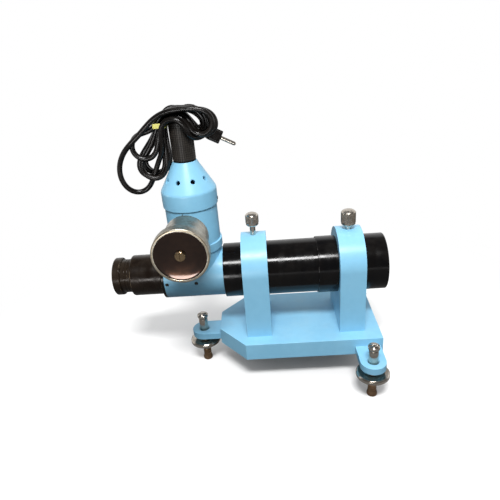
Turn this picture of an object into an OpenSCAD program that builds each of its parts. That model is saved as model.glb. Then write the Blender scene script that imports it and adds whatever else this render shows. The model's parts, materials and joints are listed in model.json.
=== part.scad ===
// Laboratory autocollimator on a three-screw levelling stand, in millimetres.
// +X runs along the barrel to the objective, +Y away from the drum, +Z up from the table.
// Heights are measured from the table and x from the left shoulder of the base plate;
// place() then moves every sub-part so that the origin lies under the middle of the part.

/* [Base plate] */
// Height of the plate's top above the table
stand_h = 53; // [51:0.5:70]
// Length of the plate's full-width part
plate_len = 147; // [140:1:200]
// Width of the plate, front to back
plate_w = 102; // [84:1:130]
// Thickness of the plate
plate_t = 19.5; // [18:0.5:24]
// Length of the tapered nose at the eyepiece end
nose_len = 30; // [20:1:50]
// Width of the nose at its end
nose_w = 34.5; // [28:0.5:44]

/* [Lugs] */
// Drop from the plate's top to the lugs' top
lug_drop = 9.3; // [6:0.1:10]
// Thickness of a lug
lug_t = 7.7; // [6:0.1:8]
// Radius of a lug's round end
lug_r = 13.4; // [11:0.1:16]
// How far the side screws stand from the middle plane
lug_reach = 75.5; // [66:0.5:100]
// How far the side screws stand from the plate's right end
lug_inset = 16; // [14:0.5:40]
// How far the nose screw stands beyond the nose
nose_reach = 21; // [17:0.5:40]
// Radius of the round boss under each lug
boss_r = 9; // [7.5:0.5:11]

/* [Levelling screws] */
// Radius of the threaded stud
stud_r = 5.2; // [4:0.1:6]
// Height of the stud above its lug
stud_rise = 19.3; // [14:0.1:26]
// Radius of the stud's slotted head
stud_head_r = 6.1; // [6:0.1:7.5]
// Length of the stud's slotted head
stud_head_h = 4; // [3:0.5:6]
// Radius of the thumb wheel
wheel_r = 17.3; // [14:0.1:20]
// Thickness of the thumb wheel
wheel_t = 5; // [4:0.5:6]
// Free height between the lug's boss and the wheel
wheel_gap = 3.2; // [2.7:0.1:4]
// Height of the brass foot
foot_h = 15; // [12:0.5:17]
// Radius of the foot where it stands on the table
foot_r = 5.4; // [5:0.1:8]
// Radius of the foot at its top
foot_top_r = 4.5; // [4.3:0.1:5]

/* [Clamps] */
// Width of a clamp along the barrel
clamp_w = 27; // [20:0.5:34]
// Radius of a clamp's arch, half of its depth
clamp_r = 36.1; // [35:0.1:40]
// Height of the arch's centre above the barrel's axis
clamp_rise = 5; // [4:0.5:8]
// Middle of the left clamp
left_clamp_x = 15.4; // [14:0.1:24]
// Distance of the right clamp's middle from the plate's right end
right_clamp_inset = 30.2; // [26:0.1:40]
// Radius of the bolts that hold the clamps
bolt_r = 4; // [3:0.5:5]
// Distance of each bolt from the middle plane
bolt_y = 22; // [16:1:26]
// Length of a bolt's thread inside the clamp
bolt_bite = 16; // [12:1:22]

/* [Clamp screws] */
// Radius of the clamp screws' shanks
clamp_screw_r = 3; // [2.5:0.1:3.5]
// Radius of the left screw's head
left_head_r = 6.7; // [6:0.1:9]
// Height of the left screw's head
left_head_h = 13.4; // [10:0.1:18]
// Free shank between the left clamp and the screw's head
left_head_gap = 10.4; // [3:0.1:14]
// Radius of the right screw's head
right_head_r = 7.5; // [6:0.1:9]
// Height of the right screw's head
right_head_h = 16.2; // [10:0.1:18]
// Free shank between the right clamp and the screw's head
right_head_gap = 4; // [3:0.1:14]
// Radius of the pads that press on the barrel
pad_r = 4.4; // [4:0.1:5]
// Thickness of a pad at its middle
pad_t = 2.5; // [2.2:0.1:2.8]
// Lift of a pad when its screw is let go
pad_lift = 1.2; // [0.8:0.1:1.4]

/* [Barrel] */
// Height of the barrel's axis above the plate
axis_rise = 66.5; // [64:0.5:80]
// Outer radius of the barrel
barrel_r = 29.6; // [29:0.1:30]
// Wall of the barrel
barrel_wall = 3.2; // [2.5:0.1:4]
// Left end of the barrel
barrel_x = -18.3; // [-18.5:0.1:-14]
// Length of the barrel
barrel_len = 168.3; // [166:0.1:180]
// Wall of the objective sleeve, over the barrel
sleeve_wall = 1.35; // [1:0.05:2]
// Length of the objective sleeve
sleeve_len = 72.8; // [60:0.1:78]
// How far the sleeve reaches past the barrel
sleeve_lip = 4.8; // [4.5:0.1:8]
// Step of the sleeve's free end, where a slip-on cap seats
cap_step = 0.5; // [0.4:0.05:0.8]

/* [Objective] */
// Length of the cell inside the barrel
cell_len = 12; // [12:0.5:16]
// Wall of the cell round the lenses
cell_wall = 2.95; // [2:0.05:4]
// Radius of the lens surfaces
objective_curve = 95; // [80:1:160]
// Middle thickness of the crown lens
crown_t = 6; // [5:0.1:6.5]
// Edge thickness of the flint lens
flint_t = 5; // [4:0.1:5.5]

/* [Head] */
// Outer radius of the head and of the lamp branch
head_r = 27; // [26:0.1:27.4]
// Bore of the head
head_bore_r = 23; // [22:0.1:23]
// Length of the head, from the barrel to the end plate
head_len = 64.2; // [62:0.1:70]
// Thickness of the black end plate
end_plate_t = 3; // [2:0.5:5]
// Distance of the lamp branch's axis from the barrel's left end
branch_x = 28.5; // [28:0.1:32]
// Height of the branch's top above the barrel's axis
branch_h = 32; // [30:0.5:36]
// Thickness of the beam splitter
splitter_t = 1.5; // [1:0.1:2]

/* [Eyepiece] */
// Outer radius of the eyepiece holder
holder_r = 22.5; // [21:0.1:24]
// Length of the eyepiece holder
holder_len = 35.5; // [34:0.5:42]
// Outer radius of the sliding eyepiece tube
eye_tube_r = 18.5; // [17:0.1:19]
// Wall of the eyepiece tube
eye_tube_wall = 2; // [1.5:0.1:2.2]
// Length of the eyepiece tube
eye_tube_len = 34; // [32:0.5:36]
// Free length between the holder and the eye cap
eye_tube_gap = 11; // [10:0.5:14]
// Outer radius of the eye cap
eye_cap_r = 20.8; // [19:0.1:22]
// Length of the eye cap
eye_cap_len = 8.5; // [7:0.5:12]

/* [Lamp house] */
// Radius of the flange ring at the foot of the lamp tube
flange_r = 28.5; // [27.8:0.1:30]
// Height of the flange ring
flange_h = 9.5; // [6:0.5:12]
// Height of the lamp tube above its flange
lamp_tube_h = 39; // [38.5:0.5:46]
// Bore of the lamp tube
lamp_bore_r = 22.5; // [22.2:0.1:22.7]
// Outer radius of the cap's collar
cap_r = 28.4; // [28:0.1:30]
// Wall of the cap
cap_wall = 2.5; // [2:0.1:2.6]
// Height of the cap's collar
collar_h = 16.6; // [15:0.1:22]
// Height of the cap's cone
cone_h = 29; // [24:0.5:36]
// Number of vent holes round the cone
vent_count = 9; // [6:1:12]
// Radius of a vent hole
vent_r = 2; // [1.5:0.1:2.5]
// Height of the vent holes above the foot of the cone
vent_h = 12; // [10:0.5:14]

/* [Lamp holder] */
// Outer radius of the lamp holder
lamp_holder_r = 11.3; // [10.5:0.1:12]
// Height of the lamp holder above the cap
lamp_holder_h = 38.7; // [34:0.1:39]
// Radius of the holder's shank in the cap's neck
shank_r = 9; // [8.6:0.1:9.3]
// Length of the holder's shank
shank_len = 14; // [13:0.5:16]
// Radius of the bulb's glass
bulb_r = 7.5; // [6:0.1:8]

/* [Micrometer] */
// Height of the drum's axis above the top of the flange ring
drum_h = 19; // [18:0.1:21]
// How far left of the lamp tube's axis the drum's axis lies
drum_offset = 1.8; // [0:0.1:2.2]
// Distance from the lamp tube's axis to the thimble's graduated edge
drum_y = 38; // [37:0.5:44]
// Radius of the graduated thimble
thimble_r = 21.9; // [21:0.1:24]
// Length of the graduated thimble
thimble_len = 19; // [16:0.5:22]
// Radius of the drum's grip
grip_r = 27; // [26:0.1:30]
// Length of the whole drum
drum_len = 46; // [45:0.5:52]
// Radius of the micrometer spindle
spindle_r = 4; // [3.5:0.1:4.5]
// Radius of the spindle's thread
spindle_thread_r = 2.5; // [2:0.1:2.6]
// Distance of each guide rod from the lamp tube's axis
rod_x = 14; // [13.9:0.1:14.5]
// Radius of a guide rod
rod_r = 2; // [1.5:0.1:2.2]
// Travel of the target to each side
target_travel = 2.5; // [1:0.1:2.5]

/* [Cord] */
// Diameter of the mains cord
cord_d = 5.3; // [4.5:0.1:6]
// Thickness of the tied hank, front to back
hank_t = 26; // [20:0.5:28]
// Thickness of the plug's body
plug_t = 13.5; // [12:0.1:15]
// Width of the plug's body
plug_w = 32; // [28:0.5:34]
// Length of the plug's pins
pin_len = 16.5; // [14:0.5:19]

/* [Hidden] */
$fn = 64;

// Clearances
fit = 0.05;      // radial clearance of threads, slides and pressed pieces
seat = 0.3;      // rest gap between pieces of different bodies
face_gap = 0.1;  // axial gap at a turning shoulder
cut = 1;         // how far a cutting shape runs past the surface it cuts
chamfer = 1;     // edge chamfer of the turned pieces

// Colours
enamel = [0.56, 0.78, 0.90];
black = [0.07, 0.07, 0.08];
chrome = [0.80, 0.80, 0.78];
brass = [0.72, 0.56, 0.33];
brown = [0.22, 0.15, 0.12];
glass = [0.75, 0.88, 0.92];
rubber = [0.06, 0.06, 0.06];
yellow = [0.92, 0.88, 0.35];

// Heights of the stand
plate_bottom = stand_h - plate_t;
lug_top = stand_h - lug_drop;
lug_bottom = lug_top - lug_t;
wheel_top = plate_bottom - wheel_gap;
wheel_bottom = wheel_top - wheel_t;
axis_z = stand_h + axis_rise;
arch_z = axis_z + clamp_rise;
crown_z = arch_z + clamp_r;

// Lengths along the barrel
barrel_end = barrel_x + barrel_len;
barrel_bore_r = barrel_r - barrel_wall;
sleeve_bore_r = barrel_r + fit;
sleeve_r = sleeve_bore_r + sleeve_wall;
sleeve_end = barrel_end + sleeve_lip;
sleeve_x = sleeve_end - sleeve_len;
head_x = barrel_x - head_len;
end_plate_x = head_x - end_plate_t;
holder_x = end_plate_x - holder_len;
eye_tube_x = holder_x - eye_tube_gap;
eye_cap_x = eye_tube_x - eye_cap_len;
lamp_x = barrel_x - branch_x;
mid_x = (eye_cap_x + sleeve_end) / 2;
right_clamp_x = plate_len - right_clamp_inset;
objective_r = barrel_bore_r - fit - cell_wall;

// Heights of the lamp house
branch_top = axis_z + branch_h;
flange_top = branch_top + flange_h;
lamp_tube_top = flange_top + lamp_tube_h;
neck_r = shank_r + fit;
cap_bottom = lamp_tube_top + seat;
cap_bore_r = cap_r - cap_wall;
cone_z = cap_bottom + collar_h;
cap_top = cone_z + cone_h;
holder_bottom = cap_top + seat;
holder_top = holder_bottom + lamp_holder_h;
drum_x = lamp_x - drum_offset;
drum_z = flange_top + drum_h;

// Levelling studs: x, y and the direction in which the lug points
studs = [
    [-nose_len - nose_reach, 0, 180],
    [plate_len - lug_inset, -lug_reach, -90],
    [plate_len - lug_inset, lug_reach, 90]
];

// ---------- shared shapes ----------

module place() { translate([-mid_x, 0, 0]) children(); }

// Children are drawn along local z, which these turn to +X on the barrel's axis or to -Y
module on_axis(x) { translate([x, 0, axis_z]) rotate([0, 90, 0]) children(); }
module to_front(x, y, z) { translate([x, y, z]) rotate([90, 0, 0]) children(); }

module tube(outer_r, inner_r, length) {
    difference() {
        cylinder(r = outer_r, h = length);
        translate([0, 0, -cut]) cylinder(r = inner_r, h = length + 2 * cut);
    }
}

// Solid of revolution with both rims chamfered
module turned(radius, length, edge = chamfer) {
    rotate_extrude()
        polygon([
            [0, 0], [radius - edge, 0], [radius, edge],
            [radius, length - edge], [radius - edge, length], [0, length]
        ]);
}

// ---------- stand ----------

module plate_outline() {
    polygon([
        [0, -plate_w / 2], [plate_len, -plate_w / 2],
        [plate_len, plate_w / 2], [0, plate_w / 2],
        [-nose_len, nose_w / 2], [-nose_len, -nose_w / 2]
    ]);
}

lug_root = 4;      // how far a lug runs into the plate
sink_depth = 1.4;  // countersink at the top of each lug

// A lug around its stud at the origin, running back along -X into the plate
module lug(root) {
    translate([0, 0, lug_bottom]) {
        cylinder(r = lug_r, h = lug_t);
        translate([-root, -lug_r, 0]) cube([root, 2 * lug_r, lug_t]);
    }
    translate([0, 0, plate_bottom]) cylinder(r = boss_r, h = lug_bottom - plate_bottom + cut);
}

module stud_hole() {
    bore = stud_r + fit;
    mouth = stud_head_r + 0.5;
    translate([0, 0, plate_bottom - cut]) cylinder(r = bore, h = stand_h);
    translate([0, 0, lug_top - sink_depth]) cylinder(r1 = bore, r2 = mouth, h = sink_depth + 0.01);
}

bolt_head_r = bolt_r * 1.6;
bolt_head_h = bolt_r * 2;
bolt_recess = 0.5;  // depth of the bolt heads above the plate's underside
bolt_seat = plate_bottom + bolt_head_h + bolt_recess;
bolt_play = 0.2;

module at_bolts() {
    for (x = [left_clamp_x, right_clamp_x], side = [-1, 1])
        translate([x, side * bolt_y, 0]) children();
}

module base_plate() color(enamel) place() {
    side_root = lug_reach - plate_w / 2 + lug_root;
    difference() {
        union() {
            translate([0, 0, plate_bottom]) linear_extrude(plate_t) plate_outline();
            for (s = studs)
                translate([s[0], s[1], 0]) rotate(s[2]) lug(s[1] == 0 ? nose_reach + lug_root : side_root);
        }
        for (s = studs) translate([s[0], s[1], 0]) stud_hole();
        at_bolts() {
            translate([0, 0, plate_bottom - cut])
                cylinder(r = bolt_head_r + 2 * bolt_play, h = bolt_seat - plate_bottom + cut);
            cylinder(r = bolt_r + bolt_play, h = stand_h + cut);
        }
    }
}

// One clamp: a pillar with a round crown, bored for the barrel and tapped for its screw
module clamp(x, barrel_outer_r) {
    bore = barrel_outer_r + fit;
    difference() {
        union() {
            translate([x - clamp_w / 2, -clamp_r, stand_h])
                cube([clamp_w, 2 * clamp_r, arch_z - stand_h]);
            translate([x - clamp_w / 2, 0, arch_z]) rotate([0, 90, 0]) cylinder(r = clamp_r, h = clamp_w);
        }
        on_axis(x - clamp_w / 2 - cut) cylinder(r = bore, h = clamp_w + 2 * cut);
        translate([x, 0, axis_z]) {
            cylinder(r = clamp_screw_r + fit, h = clamp_r * 2);
            cylinder(r = pad_r + fit, h = barrel_outer_r + seat + pad_t + pad_lift + face_gap);
        }
        for (side = [-1, 1])
            translate([x, side * bolt_y, stand_h - cut])
                cylinder(r = bolt_r + fit, h = bolt_bite + 2 + cut);
    }
}

module left_clamp() color(enamel) place() clamp(left_clamp_x, barrel_r);

module right_clamp() color(enamel) place() clamp(right_clamp_x, sleeve_r);

module clamp_bolts() color(chrome) place() {
    socket_r = bolt_r * 0.85;
    at_bolts() difference() {
        union() {
            translate([0, 0, bolt_seat - bolt_head_h]) cylinder(r = bolt_head_r, h = bolt_head_h);
            translate([0, 0, bolt_seat - cut])
                cylinder(r = bolt_r, h = stand_h + bolt_bite - bolt_seat + cut);
        }
        translate([0, 0, bolt_seat - bolt_head_h - cut]) cylinder(r = socket_r, h = bolt_r + cut, $fn = 6);
    }
}

// ---------- levelling screws ----------

foot_wall = 1.4;
foot_edge = 0.5;
foot_band = 2.5;   // height of the foot's straight rim
foot_cone = 6;     // height at which the foot's cone ends
tip_r = foot_top_r - foot_wall;
tip_z = 4;
stop_r = stud_r + 1;
stop_t = 2;
head_neck = 1.5;   // length of the groove under a stud's head
slot_w = 1.4;
slot_depth = 1.6;

module foot(i) {
    s = studs[i];
    place() translate([s[0], s[1], 0]) difference() {
        rotate_extrude()
            polygon([
                [0, 0], [foot_r - foot_edge, 0], [foot_r, foot_edge], [foot_r, foot_band],
                [foot_top_r, foot_cone], [foot_top_r, foot_h - foot_edge],
                [foot_top_r - foot_edge, foot_h], [0, foot_h]
            ]);
        translate([0, 0, tip_z]) cylinder(r = tip_r + fit, h = foot_h);
    }
}

// Stud with its slotted head on top, a neck and the round tip that stands in the foot
module levelling_screw(i) {
    s = studs[i];
    top = lug_top + stud_rise;
    neck_r = foot_top_r - 0.3;
    place() translate([s[0], s[1], 0]) difference() {
        union() {
            translate([0, 0, tip_z + seat + tip_r]) {
                sphere(r = tip_r);
                cylinder(r = tip_r, h = foot_h - tip_z);
            }
            translate([0, 0, foot_h + seat]) cylinder(r = neck_r, h = wheel_bottom - foot_h - seat);
            translate([0, 0, wheel_bottom - stop_t]) turned(stop_r, stop_t, 0.4);
            translate([0, 0, wheel_bottom - 0.01])
                cylinder(r = stud_r, h = top - stud_head_h - head_neck - wheel_bottom);
            translate([0, 0, top - stud_head_h - head_neck - 0.5])
                cylinder(r = stud_r - 0.6, h = head_neck + cut);
            translate([0, 0, top - stud_head_h]) turned(stud_head_r, stud_head_h, 0.8);
        }
        translate([-stud_head_r - cut, -slot_w / 2, top - slot_depth])
            cube([2 * (stud_head_r + cut), slot_w, slot_depth + cut]);
    }
}

// Wheel fixed on the stud against its collar, with a bevelled rim and a dished underside
module thumb_wheel(i) {
    s = studs[i];
    hub_r = stop_r + 1.5;
    dish = 1.2;
    rim = 2.5;
    bevel = 1.4;
    place() translate([s[0], s[1], wheel_bottom]) rotate_extrude()
        polygon([
            [stud_r + fit, 0], [hub_r, 0], [hub_r + 1, dish], [wheel_r - rim - 1, dish],
            [wheel_r - rim, 0], [wheel_r - chamfer, 0], [wheel_r, chamfer],
            [wheel_r, wheel_t - bevel], [wheel_r - bevel, wheel_t], [stud_r + fit, wheel_t]
        ]);
}

module foot_left() color(brass) foot(0);
module foot_front() color(brass) foot(1);
module foot_back() color(brass) foot(2);
module levelling_screw_left() color(chrome) levelling_screw(0);
module levelling_screw_front() color(chrome) levelling_screw(1);
module levelling_screw_back() color(chrome) levelling_screw(2);
module thumb_wheel_left() color(chrome) thumb_wheel(0);
module thumb_wheel_front() color(chrome) thumb_wheel(1);
module thumb_wheel_back() color(chrome) thumb_wheel(2);

// ---------- clamp screws ----------

pad_socket = 1.4;
spigot_r = clamp_screw_r - 1;
knob_edge = 1.4;
knob_crown = 0.8;

// Pad hollowed to the barrel, with a socket for the screw's spigot
module clamp_pad(x, barrel_outer_r) {
    hollow = barrel_outer_r + seat;
    place() translate([x, 0, axis_z]) difference() {
        cylinder(r = pad_r, h = hollow + pad_t);
        rotate([0, 90, 0]) cylinder(r = hollow, h = 4 * pad_r, center = true);
        translate([0, 0, hollow + pad_t - pad_socket]) cylinder(r = spigot_r + fit, h = pad_socket + cut);
    }
}

module clamp_screw(x, barrel_outer_r, head_radius, head_h, gap) {
    pad_top = axis_z + barrel_outer_r + seat + pad_t;
    shoulder = pad_top + face_gap;
    place() translate([x, 0, 0]) {
        translate([0, 0, pad_top - pad_socket + face_gap])
            cylinder(r = spigot_r, h = pad_socket + face_gap);
        translate([0, 0, shoulder]) cylinder(r = clamp_screw_r, h = crown_z + gap + cut - shoulder);
        translate([0, 0, crown_z + gap]) turned(head_radius, head_h, knob_edge);
        translate([0, 0, crown_z + gap + head_h - 0.2])
            cylinder(r1 = head_radius - knob_edge - 0.2, r2 = head_radius * 0.5, h = knob_crown + 0.2);
    }
}

module clamp_pad_left() color(brass) clamp_pad(left_clamp_x, barrel_r);
module clamp_pad_right() color(brass) clamp_pad(right_clamp_x, sleeve_r);
module clamp_screw_left() color(chrome)
    clamp_screw(left_clamp_x, barrel_r, left_head_r, left_head_h, left_head_gap);
module clamp_screw_right() color(chrome)
    clamp_screw(right_clamp_x, sleeve_r, right_head_r, right_head_h, right_head_gap);

// ---------- barrel and objective ----------

module barrel_tube() color(black) place() on_axis(barrel_x) tube(barrel_r, barrel_bore_r, barrel_len);

cap_seat_r = sleeve_r - cap_step;
step_at = right_clamp_x + clamp_w / 2 + chamfer - sleeve_x;

// Sleeve over the barrel's end: its lip covers the cell's flange, and its end past the clamp is
// turned down by a step
module objective_sleeve() color(black) place() on_axis(sleeve_x) rotate_extrude()
    polygon([
        [sleeve_bore_r, 0], [sleeve_r - 0.6, 0], [sleeve_r, 0.6],
        [sleeve_r, step_at], [cap_seat_r, step_at], [cap_seat_r, sleeve_len - chamfer],
        [cap_seat_r - chamfer, sleeve_len], [sleeve_bore_r, sleeve_len]
    ]);

cell_flange_t = 3;
lens_ledge = 2;      // how far ledge and ring reach over the lenses
lens_ring_t = 2;
cell_bore_r = objective_r + fit;
cell_x = barrel_end - cell_len;
ledge_t = 2;
flint_x = cell_x + ledge_t;
crown_x = flint_x + flint_t;

// Cell that slides into the barrel up to its flange and holds both lenses against a ledge
module objective_cell() color(black) place() on_axis(cell_x) difference() {
    union() {
        cylinder(r = barrel_bore_r - fit, h = cell_len);
        translate([0, 0, cell_len]) cylinder(r = barrel_r, h = cell_flange_t);
    }
    translate([0, 0, -cut]) cylinder(r = objective_r - lens_ledge, h = cell_len + cell_flange_t + 2 * cut);
    translate([0, 0, ledge_t]) cylinder(r = cell_bore_r, h = cell_len + cell_flange_t);
}

// Height of a lens surface's cap over the lens's own radius
function bulge(radius, curve) = curve - sqrt(curve * curve - radius * radius);
objective_bulge = bulge(objective_r, objective_curve);

module objective_flint() color(glass) place() on_axis(flint_x) difference() {
    cylinder(r = objective_r, h = flint_t);
    translate([0, 0, flint_t - objective_bulge + objective_curve]) sphere(r = objective_curve, $fn = 120);
}

module objective_crown() color(glass) place() on_axis(crown_x) intersection() {
    translate([0, 0, -objective_bulge]) cylinder(r = objective_r, h = crown_t + objective_bulge);
    translate([0, 0, objective_curve - objective_bulge + fit]) sphere(r = objective_curve, $fn = 120);
    translate([0, 0, crown_t - objective_curve]) sphere(r = objective_curve, $fn = 120);
}

objective_ring_x = crown_x + crown_t - bulge(objective_r - lens_ledge, objective_curve) + fit;

module objective_ring() color(black) place() on_axis(objective_ring_x) difference() {
    cylinder(r = objective_r - fit, h = lens_ring_t);
    translate([0, 0, -cut]) cylinder(r = objective_r - lens_ledge, h = lens_ring_t + 2 * cut);
}

baffle_places = [0.3, 0.62];  // shares of the barrel's length
baffle_depth = 6;
baffle_t = 2;

module barrel_baffles() color(black) place() {
    for (part = baffle_places)
        on_axis(barrel_x + part * barrel_len)
            tube(barrel_bore_r - fit, barrel_bore_r - baffle_depth, baffle_t);
}

// ---------- head ----------

spigot_len = 14;
grub_r = 2;
cell_grub_x = lamp_x - 1.2;
plate_grub_x = head_x + 3;
plate_spigot = 7;

module at_head_screws() {
    for (x = [plate_grub_x, cell_grub_x]) to_front(x, -head_bore_r + 0.6, axis_z) children();
}

// Horizontal body with the lamp branch on top and a spigot that enters the barrel
module head_body() color(enamel) place() difference() {
    union() {
        on_axis(head_x) cylinder(r = head_r, h = head_len);
        on_axis(barrel_x - cut) cylinder(r = barrel_bore_r - fit, h = spigot_len + cut);
        translate([lamp_x, 0, axis_z]) cylinder(r = head_r, h = branch_h);
    }
    on_axis(head_x - cut) cylinder(r = head_bore_r, h = head_len + spigot_len + 2 * cut);
    translate([lamp_x, 0, axis_z]) cylinder(r = lamp_bore_r, h = branch_h + cut);
    at_head_screws() cylinder(r = grub_r + fit, h = head_r);
}

module head_screws() color(black) place() {
    screw_len = head_r - head_bore_r - 0.6;
    at_head_screws() difference() {
        translate([0, 0, 0.7]) cylinder(r = grub_r, h = screw_len + 0.2);
        translate([-0.4, -grub_r - cut, screw_len]) cube([0.8, 2 * (grub_r + cut), 2]);
    }
}

reticle_bore_r = 14;
plate_bore_r = reticle_bore_r + 3.5;

module end_plate() color(black) place() difference() {
    union() {
        on_axis(end_plate_x) cylinder(r = head_r, h = end_plate_t);
        on_axis(end_plate_x) cylinder(r = head_bore_r - fit, h = end_plate_t + plate_spigot);
    }
    on_axis(end_plate_x - cut) cylinder(r = plate_bore_r + fit, h = end_plate_t + plate_spigot + 2 * cut);
}

splitter_r = 20;
splitter_cell_x = head_x + plate_spigot + fit;

// Ring cut at 45 degrees; the splitter lies on its cut face
module splitter_cell() color(black) place() difference() {
    on_axis(splitter_cell_x)
        tube(head_bore_r - fit, splitter_r - 2.5, lamp_x + head_bore_r - splitter_cell_x);
    translate([lamp_x, 0, axis_z]) rotate([0, 45, 0])
        translate([-2 * head_r, -2 * head_r, -splitter_t]) cube(4 * head_r);
}

module beam_splitter() color(glass) place() intersection() {
    translate([lamp_x, 0, axis_z]) rotate([0, 45, 0])
        translate([-2 * head_r, -head_r, -splitter_t]) cube([4 * head_r, 2 * head_r, splitter_t]);
    on_axis(lamp_x - 2 * head_r) cylinder(r = splitter_r, h = 4 * head_r);
}

// ---------- eyepiece ----------

eye_bore_r = eye_tube_r + fit;
eye_bore_len = holder_len - 4.5;

// Fixed barrel of the eyepiece: slide bore, reticle seat and the spigot through the end plate
module eyepiece_holder() color(brown) place() difference() {
    union() {
        on_axis(holder_x) turned(holder_r, holder_len);
        on_axis(end_plate_x - cut) cylinder(r = plate_bore_r, h = end_plate_t + cut);
    }
    on_axis(holder_x - cut) cylinder(r = eye_bore_r, h = eye_bore_len + cut);
    on_axis(holder_x + eye_bore_len - cut) cylinder(r = reticle_bore_r, h = 4 + cut);
    on_axis(holder_x) cylinder(r = reticle_bore_r - 1.5, h = holder_len + end_plate_t + cut);
}

module eyepiece_reticle() color(glass) place()
    on_axis(holder_x + eye_bore_len + 2) cylinder(r = reticle_bore_r - fit, h = 2);

eye_tube_bore_r = eye_tube_r - eye_tube_wall;
eye_stub = 6;
eye_lens_t = 4;
field_lens_t = 3.5;

module eyepiece_tube() color(brown) place() difference() {
    on_axis(eye_tube_x) tube(eye_tube_r, eye_tube_bore_r, eye_tube_len);
    on_axis(eye_tube_x + 4.5) tube(eye_tube_r + cut, eye_tube_r - 0.6, 1.2);
    on_axis(eye_tube_x + 7.5) tube(eye_tube_r + cut, eye_tube_r - 0.6, 1.2);
}

// Cap with the hollowed eye opening, screwed into the tube by its stub
module eye_cap() color(brown) place() on_axis(eye_cap_x) rotate_extrude() {
    eye_r = 10;
    polygon([
        [eye_cap_r - 4, 0], [eye_cap_r - 1, 0], [eye_cap_r, 1], [eye_cap_r, eye_cap_len - 1],
        [eye_cap_r - 1, eye_cap_len], [eye_tube_bore_r - fit, eye_cap_len],
        [eye_tube_bore_r - fit, eye_cap_len + eye_stub], [eye_r, eye_cap_len + eye_stub],
        [eye_r, eye_cap_len - 2]
    ]);
}

eye_curve = 40;

module eye_lens() color(glass) place() on_axis(eye_tube_x + eye_stub) intersection() {
    cylinder(r = eye_tube_bore_r - fit, h = eye_lens_t);
    translate([0, 0, eye_lens_t - eye_curve]) sphere(r = eye_curve, $fn = 120);
}

module field_lens() color(glass) place()
    on_axis(eye_tube_x + eye_tube_len - field_lens_t - 1) intersection() {
        cylinder(r = eye_tube_bore_r - fit, h = field_lens_t);
        translate([0, 0, eye_curve]) sphere(r = eye_curve, $fn = 120);
    }

// ---------- lamp tube and target ----------

socket_depth = 8;
socket_wall = 3;
lamp_spigot_r = cap_bore_r - fit;
lamp_spigot_h = 9;
sleeve_hole_r = 10;
boss_outer_r = 15.5;
wall_y = 23;
rod_end = sqrt(head_r * head_r - pow(rod_x + rod_r, 2)) - 1.2;
carriage_r = lamp_bore_r - target_travel - 0.7;
carriage_t = 8;
ring_t = 3;
ring_z = drum_z + carriage_t / 2 + 2;
condenser_curve = 52;
condenser_t = 6;

module lamp_tube() color(enamel) place() difference() {
    translate([lamp_x, 0, 0]) {
        translate([0, 0, branch_top - socket_depth])
            cylinder(r = lamp_bore_r - fit, h = socket_depth + cut);
        translate([0, 0, branch_top]) turned(flange_r, flange_h, 0.6);
        translate([0, 0, flange_top - cut]) cylinder(r = head_r, h = lamp_tube_h + cut);
        translate([0, 0, lamp_tube_top - cut]) cylinder(r = lamp_spigot_r, h = lamp_spigot_h + cut);
    }
    translate([lamp_x, 0, branch_top + socket_wall])
        cylinder(r = lamp_bore_r, h = flange_h + lamp_tube_h + lamp_spigot_h + cut);
    translate([lamp_x, 0, branch_top - socket_depth - cut])
        cylinder(r = lamp_bore_r - socket_wall, h = socket_depth + socket_wall + 2 * cut);
    to_front(drum_x, 0, drum_z) cylinder(r = sleeve_hole_r, h = head_r + cut);
    at_rods() cylinder(r = rod_r + fit, h = 2 * rod_end + 2 * fit, center = true);
}

module at_rods() {
    for (side = [-1, 1]) to_front(lamp_x + side * rod_x, 0, drum_z) children();
}

module guide_rods() color(chrome) place() at_rods() cylinder(r = rod_r, h = 2 * rod_end, center = true);

module condenser_ring() color(black) place()
    translate([lamp_x, 0, ring_z]) tube(lamp_bore_r - fit, lamp_bore_r - 4, ring_t);

module condenser_lens() color(glass) place() translate([lamp_x, 0, ring_z + ring_t]) intersection() {
    cylinder(r = lamp_bore_r - 2 * fit, h = condenser_t);
    translate([0, 0, condenser_t - condenser_curve]) sphere(r = condenser_curve, $fn = 120);
}

stem_r = 12;
collar_y = wall_y - face_gap;
collar_t = 1.5;
spindle_end = 13.2;
nut_end = 10.4;
boss_y = drum_y - 0.5;
stem_out = 24;     // length of the stem inside the drum
stem_y = drum_y + stem_out;

// Fixed sleeve of the micrometer: a boss saddled on the lamp tube, a spigot through its wall
// and the stem that carries the drum
module drum_sleeve() color(chrome) place() difference() {
    union() {
        difference() {
            to_front(drum_x, 0, drum_z) cylinder(r = boss_outer_r, h = boss_y);
            translate([lamp_x, 0, 0]) cylinder(r = head_r + 0.02, h = 2 * drum_z);
        }
        to_front(drum_x, -wall_y, drum_z) cylinder(r = sleeve_hole_r - fit, h = boss_y - wall_y);
        to_front(drum_x, -boss_y + cut, drum_z) cylinder(r = stem_r, h = stem_y - boss_y + cut);
    }
    to_front(drum_x, 0, drum_z) cylinder(r = spindle_r + fit, h = stem_y + cut);
}

// Carriage on the two rods, with the nut for the spindle and the seat of the target
module target_carriage() color(brass) place() difference() {
    translate([lamp_x, 0, drum_z - carriage_t / 2]) cylinder(r = carriage_r, h = carriage_t);
    translate([lamp_x, 0, 0]) {
        cylinder(r = target_bore_r, h = 2 * drum_z);
        translate([0, 0, drum_z + carriage_t / 2 - target_t])
            cylinder(r = target_seat_r, h = target_t + cut);
    }
    at_rods() cylinder(r = rod_r + fit, h = 4 * carriage_r, center = true);
    to_front(drum_x, -nut_end, drum_z) cylinder(r = spindle_thread_r + fit, h = carriage_r);
    to_front(drum_x, collar_t + seat + target_travel - wall_y, drum_z)
        cylinder(r = pocket_r, h = carriage_r);
}

target_t = 1.5;
target_bore_r = 8.5;
target_seat_r = 9.6;
pocket_r = 6.6;

module target_glass() color(glass) place()
    translate([lamp_x, 0, drum_z + carriage_t / 2 - target_t])
        cylinder(r = target_seat_r - fit, h = target_t);

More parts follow.
